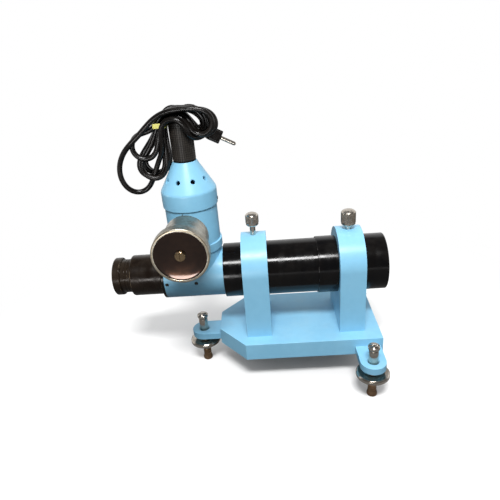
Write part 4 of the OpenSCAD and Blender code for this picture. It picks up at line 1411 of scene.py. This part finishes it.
    def settled_route(self) -> np.ndarray:
        """Lets the lead find room: strands push apart, bends open and the length stays.

        It is first drawn back to the layout strongly and then weakly, and its last rounds run
        without the tie.

        Returns:
            The points of the lead's middle, in millimetres from its exit.
        """
        strong_pull, weak_pull, easing = 0.02, 0.004, 0.4
        end_points, holder_points = 4, 10
        tied_share, length_passes = 0.95, 3
        rest = self.spaced(self.smooth(self.control_points(), 8), self.step)
        line = rest.copy()
        count = len(line)
        step = float(np.linalg.norm(np.diff(line, axis=0), axis=1).mean())
        order = np.arange(count)
        apart = np.abs(order[:, None] - order[None, :]) > self.neighbours
        held = (order < end_points) | (order >= count - end_points)
        free = order >= holder_points
        for turn in range(self.rounds):
            pull = strong_pull if turn < self.rounds / 2 else weak_pull
            line = line + pull * (rest - line)
            self.open_bends(line, step)
            eased = line.copy()
            eased[2:-2] = -(line[:-4] + line[4:]) / 6 + (line[1:-3] + line[3:-1]) * 4 / 6
            line = (1 - easing) * line + easing * eased
            self.push_apart(line, apart)
            self.clear_lamp(line, free)
            if turn < self.rounds * tied_share:
                self.hold_in_tie(line)
            line[:, 2] = np.minimum(line[:, 2], self.highest)
            for _ in range(length_passes):
                self.keep_length(line, step)
            line[held] = rest[held]
        return line

    def open_bends(self, line: np.ndarray, step: float) -> None:
        """Pushes points that are a few steps apart out to at least a bend's chord.

        Args:
            line: Points of the lead, which are moved.
            step: Distance between neighbours.
        """
        give = 0.175
        for k in (2, 4):
            least = 2 * self.tightest * math.sin(k * step / self.tightest)
            way = line[2 * k:] - line[:-2 * k]
            size = np.linalg.norm(way, axis=1)
            short = np.clip(least - size, 0, None) / np.maximum(size, 0.5) * give
            move = np.zeros_like(line)
            number = np.zeros((len(line), 1))
            move[2 * k:] += way * short[:, None]
            move[:-2 * k] -= way * short[:, None]
            number[2 * k:, 0] += short > 0
            number[:-2 * k, 0] += short > 0
            line += move / np.maximum(number, 1)

    def push_apart(self, line: np.ndarray, apart: np.ndarray) -> None:
        """Moves strands that lie in each other apart.

        Args:
            line: Points of the lead, which are moved.
            apart: For each pair of points, whether the lead between them is long.
        """
        give, least_reach, most_pushes = 0.5, 0.3, 2
        gaps = line[:, None, :] - line[None, :, :]
        reach = np.linalg.norm(gaps, axis=2)
        near = (reach < self.spacing) & apart
        push = np.where(near, (self.spacing - reach) / np.maximum(reach, least_reach), 0.0)
        number = np.maximum(near.sum(1), 1)[:, None]
        pushed = give * (gaps * push[:, :, None]).sum(1)
        line += pushed / number * np.minimum(number, most_pushes)

    def clear_lamp(self, line: np.ndarray, free: np.ndarray) -> None:
        """Keeps the lead off the lamp holder and off the cap's cone.

        Args:
            line: Points of the lead, which are moved.
            free: Whether each point has left the holder.
        """
        gap, cone_gap, neck_wall, cone_share = 0.15, 0.5, 0.6, 0.636
        room = self.thick / 2 + gap
        out = np.hypot(line[:, 0], line[:, 1])
        side, above = out - self.holder_r, line[:, 2].copy()
        close = (side < room) & (above < room) & free
        corner = close & (side > 0) & (above > 0)
        reach = np.hypot(side, above)
        share = np.where(corner & (reach < room), (room - reach) / np.maximum(reach, 0.1), 0.0)
        line[:, 2] += above * share
        outward = line[:, :2] / np.maximum(out, 0.1)[:, None]
        line[:, :2] += outward * (side * share)[:, None]
        flank = close & ~corner & (side > above)
        line[:, :2] += outward * np.where(flank, room - side, 0.0)[:, None]
        line[:, 2] += np.where(close & ~corner & ~flank, room - above, 0.0)
        base, top = low_of("lamp_cap"), high_of("lamp_cap")
        drop = (self.exit.z - top.z) / MM
        cone_height = (top.z - base.z) / MM * cone_share
        widest = half_size("lamp_cap", 0) / MM
        narrow = self.holder_r + neck_wall
        up_cone = (line[:, 2] + drop + cone_height) / cone_height
        cone = np.clip(widest - up_cone * (widest - narrow), narrow, widest)
        inside = (out < cone + room + cone_gap) & (line[:, 2] < -drop)
        line[inside, :2] = outward[inside] * (cone[inside] + room + cone_gap)[:, None]

    def hold_in_tie(self, line: np.ndarray) -> None:
        """Keeps the strands that pass the tie inside it.

        Args:
            line: Points of the lead, which are moved.
        """
        half_wide, half_deep = 3.5, 12.7
        near_wide, near_deep, near_high = 9.0, 16.0, 2.4
        at_tie = np.abs(line[:, 2] - self.tie_z) < near_high
        at_tie &= np.abs(line[:, 0] - self.tie_x) < near_wide
        at_tie &= np.abs(line[:, 1]) < near_deep
        line[at_tie, 0] = np.clip(line[at_tie, 0], self.tie_x - half_wide, self.tie_x + half_wide)
        line[at_tie, 1] = np.clip(line[at_tie, 1], -half_deep, half_deep)

    @staticmethod
    def keep_length(line: np.ndarray, step: float) -> None:
        """Brings neighbours back to one step apart, first the even pairs and then the odd ones.

        Args:
            line: Points of the lead, which are moved.
            step: Distance between neighbours.
        """
        for start in (0, 1):
            first, second = line[start:-1:2], line[start + 1::2]
            pairs = min(len(first), len(second))
            way = second[:pairs] - first[:pairs]
            size = np.linalg.norm(way, axis=1)[:, None]
            move = way * (size - step) / np.maximum(size, 0.1) / 2
            first[:pairs] += move
            second[:pairs] -= move

    def twist(self, piece: bpy.types.Object) -> None:
        """Turns a piece of the plug about the plug's own axis, from its tail to its face.

        Args:
            piece: The piece.
        """
        tail = self.exit + Vector(self.plug_tail) * MM
        ahead = (middle("plug_pins") - tail).normalized()
        turn = Matrix.Rotation(math.radians(self.plug_twist), 4, ahead)
        piece.data.transform(Matrix.Translation(tail) @ turn @ Matrix.Translation(-tail))

    def tube(self, name: str, line: np.ndarray, radii: Sequence[float],
             sides: int) -> bpy.types.Object:
        """Makes a round skin along a line, with closed ends.

        Args:
            name: Name of the piece.
            line: Points of its middle, in metres.
            radii: Radius at each point, in metres.
            sides: Faces round it.

        Returns:
            The piece, with a turned map along it.
        """
        mesh = bmesh.new()
        mesh.loops.layers.uv.new("turned")
        points = [Vector(p) for p in line]
        rings: list[list[bmesh.types.BMVert]] = []
        across = Vector((0, 1, 0))
        run: list[float] = []
        for i, (point, r) in enumerate(zip(points, radii)):
            ahead = (points[min(i + 1, len(points) - 1)] - points[max(i - 1, 0)]).normalized()
            across = (across - ahead * across.dot(ahead)).normalized()
            other = ahead.cross(across)
            ring = []
            for k in range(sides):
                angle = TURN * k / sides
                out = across * math.cos(angle) + other * math.sin(angle)
                ring.append(mesh.verts.new(point + out * r))
            rings.append(ring)
            run.append(run[-1] + (point - points[i - 1]).length if i else 0.0)
        join_rings(mesh, rings, run, self.thick / 2 * MM)
        mesh.faces.new(rings[0][::-1])
        mesh.faces.new(rings[-1])
        bmesh.ops.recalc_face_normals(mesh, faces=mesh.faces)
        return object_of(name, mesh)

    def relief_radii(self, run: np.ndarray) -> list[float]:
        """Gives the strain relief's radius, from the holder to where it ends on the lead.

        Args:
            run: Distance along the lead of each point, in metres.

        Returns:
            The radii in metres.
        """
        end_r = self.thick / 2 + self.relief_end
        return [(self.relief_r + (end_r - self.relief_r) * (r / (self.relief_len * MM)) ** 0.8) * MM
                for r in run]

    def build(self) -> None:
        route = self.settled_route()
        controls = route[::2].tolist() + [route[-1].tolist()]
        middle_line = self.spaced(self.smooth(controls, 4), self.skin_step) * MM
        middle_line += np.array(self.exit)
        radii = [self.thick / 2 * MM] * len(middle_line)
        lead = self.tube("mains_lead", middle_line, radii, self.sides)
        dress(lead, SHEATH, self.body, "cord_hank", "cord_loop", "cord_tail")
        run = self.run_along(middle_line)
        near = run < self.relief_len * MM
        relief = self.tube("lead_relief", middle_line[near], self.relief_radii(run[near]),
                           self.relief_sides)
        dress(relief, HOLDER_BLACK, self.body)
        tie = softened("cord_tie", self.tie_edge * MM, steps=2)
        dress(tie, TIE_YELLOW, self.body, "cord_tie")
        plug = softened("plug_body", self.plug_edge * MM, least=self.plug_least_angle)
        dress(plug, SHEATH, self.body, "plug_body")
        plug.name = "plug_skin"
        pins = softened("plug_pins", self.pin_edge * MM)
        for piece in (plug, pins):
            self.twist(piece)
        dress(pins, NICKEL, self.body, "plug_pins")


# ---------------------------------------------------------------- sub-assemblies


def finish_of(node: str) -> AnyFinish:
    """Gives the finish of the node's material slot in the record.

    Args:
        node: Name of the CAD node.

    Returns:
        The finish.
    """
    for part in frame["record"]["subparts"]:
        if part["node"] == node:
            return BY_SLOT[part["material_slot"]]
    raise KeyError(node)


def mapped(piece: bpy.types.Object, axis: Axis, origin: Vector) -> bpy.types.Object:
    """Adds the turned map to a piece that goes round an axis.

    Args:
        piece: The piece.
        axis: Direction of the axis.
        origin: A point on the axis.

    Returns:
        The piece.
    """
    back = axis.placed(origin).inverted()
    mesh = bmesh.new()
    mesh.from_mesh(piece.data)
    uv = mesh.loops.layers.uv.get("turned") or mesh.loops.layers.uv.new("turned")
    for face in mesh.faces:
        centre = back @ face.calc_center_median()
        home = math.atan2(centre.y, centre.x)
        wide = math.hypot(centre.x, centre.y)
        for loop in face.loops:
            p = back @ loop.vert.co
            turn = math.atan2(p.y, p.x)
            turn += TURN * round((home - turn) / TURN)
            loop[uv].uv = (turn * wide, p.z + math.hypot(p.x, p.y))
    mesh.to_mesh(piece.data)
    mesh.free()
    return piece


@dataclass
class SubAssembly:
    """Base of the sub-assemblies, with the ways of making that they share.

    Sizes are millimetres, except in the corners of a section, which are metres.
    """

    body: str = "stand"

    def soften(self, node: str, width: float, least: float = LEAST_EDGE_ANGLE,
               axis: Axis | None = None, origin: Vector | None = None,
               finish: AnyFinish | None = None) -> bpy.types.Object:
        """Makes a node's skin with soft edges, and dresses it.

        Args:
            node: CAD node that the piece stands for.
            width: Width of its roundings in millimetres.
            least: Smallest angle in degrees that counts as an edge.
            axis: Axis that it goes round, for lathe marks.
            origin: Point on that axis; the middle of the node otherwise.
            finish: Its finish; the record's slot otherwise.

        Returns:
            The piece.
        """
        piece = softened(node, width * MM, least=least)
        if axis is not None:
            mapped(piece, axis, origin or middle(node))
        return dress(piece, finish or finish_of(node), self.body, node)


@dataclass
class LevellingStand(SubAssembly):
    """Plate with its lugs, and the two clamps on it."""

    plate_edge: float = 0.9
    clamp_edge: float = 1.3
    bolt_edge: float = 0.3
    least_angle: float = 28.0

    def build(self) -> None:
        """Builds the plate, the clamps and their bolts."""
        self.soften("base_plate", self.plate_edge, self.least_angle)
        self.soften("left_clamp", self.clamp_edge, self.least_angle)
        self.soften("right_clamp", self.clamp_edge, self.least_angle)
        self.soften("clamp_bolts", self.bolt_edge)


@dataclass
class LevellingScrew(SubAssembly):
    """One levelling screw with its thumb wheel and foot."""

    side: str = "front"
    pitch: float = 1.0
    outer: float = 5.2
    root: float = 5.0
    ridge: float = 0.19
    edge: float = 0.3
    stud_edge: float = 0.25
    above_wheel: float = 0.4
    into_lug: float = 2.0

    def build(self) -> None:
        """Builds the foot, the wheel and the screw, with the thread that shows."""
        self.body = f"foot_body_{self.side}"
        self.soften(f"foot_{self.side}", self.edge, axis=Axis.UP)
        self.body = f"screw_body_{self.side}"
        wheel, screw = f"thumb_wheel_{self.side}", f"levelling_screw_{self.side}"
        self.soften(wheel, self.edge, axis=Axis.UP)
        self.core(self.soften(screw, self.stud_edge, axis=Axis.UP))
        self.thread(screw, wheel)

    def core(self, stud: bpy.types.Object) -> None:
        """Turns the stud down to the root of its thread, clear of the lug's bore.

        Args:
            stud: Skin of the levelling screw.
        """
        tolerance = 0.06
        centre = middle(f"levelling_screw_{self.side}")
        for vert in stud.data.vertices:
            away = Vector((vert.co.x - centre.x, vert.co.y - centre.y, 0.0))
            if abs(away.length - self.outer * MM) < tolerance * MM:
                vert.co -= away * (1.0 - self.root / self.outer)
        stud.data.update()

    def thread(self, screw: str, wheel: str) -> None:
        """Winds the thread round the stud where it shows, between the wheel and the lug.

        Args:
            screw: CAD node of the screw.
            wheel: CAD node of its thumb wheel.
        """
        sunk = 0.02
        base = high_of(wheel).z + self.above_wheel * MM
        length = low_of("base_plate").z + self.into_lug * MM - base
        place = Matrix.Translation((middle(screw).x, middle(screw).y, base))
        made = THREAD.made(f"stud_thread_{self.side}", NICKEL, place,
                           Turns=length / (self.pitch * MM), Radius=(self.root + sunk) * MM,
                           Length=length, Ridge=self.ridge * MM)
        dress(made, NICKEL, self.body)


@dataclass
class ClampScrew(SubAssembly):
    """One clamp screw with its knurled head, and the pad under it."""

    side: str = "left"
    ribs: int = 56
    rib_depth: float = 0.35
    rib_share: float = 0.62
    rib_sunk: float = 0.05
    head_edge: float = 0.4
    head_top: float = 0.8
    plain_ends: float = 3.4
    pad_edge: float = 0.2

    def build(self) -> None:
        """Builds the screw, its knurl and its pad."""
        self.body = f"pad_body_{self.side}"
        self.soften(f"clamp_pad_{self.side}", self.pad_edge)
        self.body = f"clamp_screw_body_{self.side}"
        node = f"clamp_screw_{self.side}"
        self.soften(node, self.head_edge, axis=Axis.UP)
        head_r = half_size(node, 0)
        head_h = self.head_height(node)
        centre = Vector((middle(node).x, middle(node).y,
                         high_of(node).z - self.head_top * MM - head_h / 2))
        ribs = RIBS.made(f"{node}_knurl", NICKEL, Matrix.Translation(centre), Count=self.ribs,
                         Radius=head_r - self.rib_sunk * MM, Length=head_h - self.plain_ends * MM,
                         Width=TURN * head_r / self.ribs * self.rib_share,
                         Depth=self.rib_depth * MM)
        dress(ribs, NICKEL, self.body)

    def head_height(self, node: str) -> float:
        """Measures the head: the stretch of the screw that is about as wide as its box.

        Args:
            node: CAD node of the screw.

        Returns:
            The height in metres.
        """
        nearly = 0.9
        wide = half_size(node, 0)
        axis = middle(node)
        tall = [v.co.z for v in frame["nodes"][node].data.vertices
                if math.hypot(v.co.x - axis.x, v.co.y - axis.y) > wide * nearly]
        return max(tall) - min(tall)


@dataclass
class Barrel(SubAssembly):
    """Black tube with its objective end, the head body behind it and the lamp tube."""

    body: str = "barrel"
    wall: float = 3.2
    sleeve_gap: float = 0.05
    seat_len: float = 23.5
    seat_step: float = 0.5

    def build(self) -> None:
        """Builds the tube, the sleeve, the cell, the head body and what is fixed to them."""
        axis_point = Vector((0.0, 0.0, middle("barrel_tube").z))
        self.barrel_tube(axis_point)
        self.sleeve(axis_point)
        along_barrel = {"objective_cell": 0.3, "objective_ring": 0.25, "splitter_cell": 0.2,
                        "eyepiece_holder": 0.7}
        for node, width in along_barrel.items():
            self.soften(node, width, axis=Axis.ALONG_BARREL, origin=axis_point)
        for node, width in {"lamp_tube": 0.6, "condenser_ring": 0.2}.items():
            self.soften(node, width, axis=Axis.UP)
        self.soften("head_body", 0.7)
        self.soften("end_plate", 0.5, axis=Axis.ALONG_BARREL, origin=axis_point)
        self.soften("head_screws", 0.2)
        self.soften("drum_sleeve", 0.4, axis=Axis.TO_FRONT, origin=middle("drum"))

    def barrel_tube(self, axis_point: Vector) -> None:
        """Turns the black tube.

        Args:
            axis_point: Point on the barrel's axis.
        """
        low, high = low_of("barrel_tube"), high_of("barrel_tube")
        outer = half_size("barrel_tube", 2)
        inner = outer - self.wall * MM
        self.tube("barrel_skin", "barrel_tube", axis_point, [
            (low.x, inner, 0.0002), (low.x, outer, 0.0004),
            (high.x, outer, 0.0003), (high.x, inner, 0.0002)])

    def sleeve(self, axis_point: Vector) -> None:
        """Turns the sleeve over the tube's right end, with the seat for a cap.

        Args:
            axis_point: Point on the barrel's axis.
        """
        low, high = low_of("objective_sleeve"), high_of("objective_sleeve")
        inner = half_size("barrel_tube", 2) + self.sleeve_gap * MM
        wide = half_size("objective_sleeve", 2)
        seat, seat_r = high.x - self.seat_len * MM, wide - self.seat_step * MM
        self.tube("sleeve_skin", "objective_sleeve", axis_point, [
            (low.x, inner, 0.0002), (low.x, wide, 0.0007), (seat, wide, 0.0002),
            (seat, seat_r, 0.0001), (high.x, seat_r, 0.0006), (high.x, inner, 0.0003)])

    def tube(self, name: str, node: str, origin: Vector, corners: list[Corner]) -> None:
        """Turns a closed section along the barrel and dresses it for a node."""
        piece = turned(name, corners, Axis.ALONG_BARREL, origin)
        dress(piece, finish_of(node), self.body, node)


@dataclass
class Eyepiece(SubAssembly):
    """Sliding eyepiece tube with its cap."""

    body: str = "eyepiece"
    tube_edge: float = 0.15
    cap_edge: float = 0.35

    def build(self) -> None:
        """Builds the grooved tube and the eye cap."""
        axis_point = Vector((0.0, 0.0, middle("barrel_tube").z))
        for node, width in {"eyepiece_tube": self.tube_edge, "eye_cap": self.cap_edge}.items():
            self.soften(node, width, axis=Axis.ALONG_BARREL, origin=axis_point)


@dataclass
class Micrometer(SubAssembly):
    """Drum with its thimble, flare, grip, dished face and screw.

    An inset says how much smaller a radius is: the thimble's and the rim's than the grip's, and
    the dish's than the rim's.
    """

    body: str = "micrometer_drum"
    divisions: int = 50
    thimble_inset: float = 5.1
    thimble_len: float = 19.0
    thimble_wall: float = 2.4
    grip_w: float = 8.0
    flare_end: float = 2.0
    flare_faces: int = 12
    rim_inset: float = 2.7
    seat_depth: float = 2.5
    web: float = 7.0
    bore: float = 4.3
    dish_rise: float = 2.2
    dish_inset: float = 1.1
    dish_floor: float = 0.3
    dish_faces: int = 15
    screw_gap: float = 0.15
    mark_below_cap: float = 3.8
    mark_turn: float = -100.0

    def build(self) -> None:
        """Builds the drum, its graduations, the face and the screw."""
        low, high = low_of("drum"), high_of("drum")
        origin = Vector((middle("drum").x, high.y, middle("drum").z))
        length = (high.y - low.y) / MM
        grip = half_size("drum", 0) / MM
        thimble, rim = grip - self.thimble_inset, grip - self.rim_inset
        self.drum(origin, length, grip, thimble, rim)
        self.graduations(origin, thimble)
        self.dish(origin, length - self.seat_depth, rim)
        self.soften("drum_screw", 0.25, finish=SCREW_BRASS, axis=Axis.TO_FRONT, origin=origin)

    def turn(self, name: str, corners: list[Corner], origin: Vector) -> bpy.types.Object:
        """Turns a section that is given in millimetres towards the front."""
        metres = [(x * MM, r * MM, size * MM) for x, r, size in corners]
        return turned(name, metres, Axis.TO_FRONT, origin)

    def drum(self, origin: Vector, length: float, grip: float, thimble: float,
             rim: float) -> None:
        """Turns the thimble, the flare and the grip as one piece.

        Args:
            origin: Middle of the drum's back.
            length: Length of the drum.
            grip: Radius of the grip.
            thimble: Radius of the thimble.
            rim: Radius of the face's seat.
        """
        flare_len = length - self.grip_w - self.flare_end - self.thimble_len
        inside = thimble - self.thimble_wall
        seat, seat_r = length - self.seat_depth, rim + 0.05
        corners: list[Corner] = [(self.web, inside, 0), (0.0, inside, 0.3), (0.0, thimble, 0.5),
                                 (self.thimble_len - 0.02, thimble, 0.0)]
        for i in range(1, self.flare_faces + 1):
            angle = TURN / 4 * i / self.flare_faces
            corners.append((self.thimble_len + flare_len * math.sin(angle),
                            thimble + (grip - thimble) * (1 - math.cos(angle)), 0.0))
        corners += [(length - 0.9, grip, 0.5), (length, grip - 1.3, 0.7), (length, seat_r, 0.25),
                    (seat, seat_r, 0), (seat, self.bore, 0), (self.web, self.bore, 0)]
        dress(self.turn("drum_skin", corners, origin), SATIN, self.body, "drum")

    def graduations(self, origin: Vector, thimble: float) -> None:
        """Engraves the drum's divisions round the thimble's back edge, and the mark for them.

        Args:
            origin: Middle of the drum's back.
            thimble: Radius of the thimble.
        """
        place = Axis.TO_FRONT.placed(origin + Vector((0, -0.5 * MM, 0)))
        ticks = TICKS.made("drum_divisions", INK, place, Count=self.divisions,
                           Radius=thimble * MM, Length=2.2 * MM, Width=0.32 * MM, Depth=0.1 * MM)
        dress(ticks, INK, self.body)
        mark = TICKS.made("reading_mark", INK, self.mark_place(), Count=1,
                          Radius=half_size("lamp_tube", 0), Length=1.6 * MM, Width=0.6 * MM,
                          Depth=0.08 * MM)
        dress(mark, INK, "barrel")

    def mark_place(self) -> Matrix:
        """Gives the place of the mark on the lamp tube's front, just under the lamp cap.

        Returns:
            The matrix that puts it there.
        """
        tube = middle("lamp_tube")
        foot = Vector((tube.x, tube.y, low_of("lamp_cap").z - self.mark_below_cap * MM))
        return Matrix.Translation(foot) @ Matrix.Rotation(math.radians(self.mark_turn), 4, "Z")

    def dish(self, origin: Vector, deep: float, rim: float) -> None:
        """Turns the dished polished plate, whose slope steepens to its edge.

        Args:
            origin: Middle of the drum's back.
            deep: Distance from there to the plate's back.
            rim: Radius of the plate.
        """
        slope_rise = 1.85
        hole = half_size("drum_screw", 0) / MM + self.screw_gap
        edge = rim - self.dish_inset
        corners: list[Corner] = [(deep, hole, 0), (deep, rim, 0),
                                 (deep + self.dish_rise, rim, 0.1),
                                 (deep + self.dish_rise, edge, 0.5)]
        for i in range(1, self.dish_faces):
            share = i / self.dish_faces
            corners.append((deep + self.dish_floor + slope_rise * (1 - share) ** 2,
                            edge - (edge - hole) * share, 0.0))
        corners.append((deep + self.dish_floor, hole, 0.1))
        # The dark maroon finish paints the dark brown room's reflection onto the polished dish.
        dress(self.turn("drum_face_skin", corners, origin), DISH_PAINTED_REFLECTION, self.body, "drum_face")


@dataclass
class LampCap(SubAssembly):
    """Vented cap over the lamp tube."""

    body: str = "lamp_cover"
    cone_len: float = 29.0
    neck_r: float = 11.9
    neck_bore: float = 11.4
    neck_wall: float = 6.0
    bore: float = 26.2
    cone_wall: float = 1.5
    vents: int = 9
    vent_height: float = 12.0
    vent_phase: float = -67.0
    vent_r: float = 2.3
    vent_depth: float = 12.0
    spot_r: float = 2.85
    spot_depth: float = 0.7

    def build(self) -> None:
        """Builds the cap's skin with its vents, and its screws.

        The skin is turned at the origin, where the tree cuts it, and the last cut places it.
        """
        low, high = low_of("lamp_cap"), high_of("lamp_cap")
        wide = half_size("lamp_cap", 0)
        neck, neck_bore, bore = self.neck_r * MM, self.neck_bore * MM, self.bore * MM
        cone = high.z - self.cone_len * MM - low.z
        whole = high.z - low.z
        corners = [(whole - self.neck_wall * MM, neck_bore, 0.0),
                   (cone - self.cone_wall * MM, bore, 0.001), (0.0, bore, 0.0003),
                   (0.0, wide, 0.0006), (cone, wide, 0.0016), (whole, neck, 0.0008),
                   (whole, neck_bore, 0.0003)]
        cap = turned("lamp_cap_skin", corners, Axis.UP, Vector((0, 0, 0)), segments=144)
        lean = math.atan((wide - neck) / (self.cone_len * MM))
        radius = wide - self.vent_height * MM * math.tan(lean)
        final = Matrix.Translation((middle("lamp_cap").x, middle("lamp_cap").y, low.z))
        for hole, depth, place in ((self.spot_r, self.spot_depth, Matrix.Identity(4)),
                                   (self.vent_r, self.vent_depth, final)):
            VENTS.made("lamp_cap_skin", ENAMEL, place, host=cap, Count=self.vents, Radius=radius,
                       Height=cone + self.vent_height * MM, Lean=lean,
                       Phase=math.radians(self.vent_phase), Hole=hole * MM, Depth=depth * MM)
        evened(cap, TURNED_SHARP_ANGLE)
        dress(cap, ENAMEL, self.body, "lamp_cap")
        self.soften("cap_screws", 0.15)


@dataclass
class LampHolder(SubAssembly):
    """Lamp holder with its fine cross grid."""

    body: str = "lamp"
    edge: float = 0.6
    round_count: int = 34
    rows: int = 17
    grip_len: float = 38.7
    plain_end: float = 1.2
    pad_share: float = 0.72
    pad_sunk: float = 0.1
    pad_depth: float = 0.7

    def build(self) -> None:
        """Builds the holder's skin and the pads of its grid."""
        self.soften("lamp_holder", self.edge, axis=Axis.UP)
        high, centre = high_of("lamp_holder"), middle("lamp_holder")
        wide = half_size("lamp_holder", 0)
        base = high.z - self.grip_len * MM
        pitch = (high.z - base - 2 * self.plain_end * MM) / self.rows
        first_row = base + self.plain_end * MM + pitch / 2
        place = Matrix.Translation((centre.x, centre.y, first_row))
        pads = PADS.made("lamp_holder_grid", HOLDER_GRIP, place, Count=self.round_count,
                         Rows=self.rows, Radius=wide - self.pad_sunk * MM, Pitch=pitch,
                         Length=pitch * self.pad_share, Depth=self.pad_depth * MM,
                         Width=TURN * wide / self.round_count * self.pad_share)
        dress(pads, HOLDER_GRIP, self.body)


class InnerPieces:
    """Every CAD node that keeps its own mesh, with its material."""

    def build(self) -> None:
        """Dresses the nodes that no other piece stands for."""
        for part in frame["record"]["subparts"]:
            piece = frame["nodes"][part["node"]]
            if piece.hide_render:
                continue
            piece.data.materials.clear()
            piece.data.materials.append(BY_SLOT[part["material_slot"]].material())
            log.info("%s keeps its solid: %s", part["node"], part["material_slot"])


def main() -> None:
    """Builds the object and its studio."""
    logging.basicConfig(level=logging.INFO, format="%(name)s: %(message)s")
    Studio().build()
    MainsLead().build()
    LevellingStand().build()
    for side in ("left", "front", "back"):
        LevellingScrew(side=side).build()
    for side in ("left", "right"):
        ClampScrew(side=side).build()
    Barrel().build()
    Eyepiece().build()
    Micrometer().build()
    LampCap().build()
    LampHolder().build()
    InnerPieces().build()


if __name__ == "__main__":
    main()
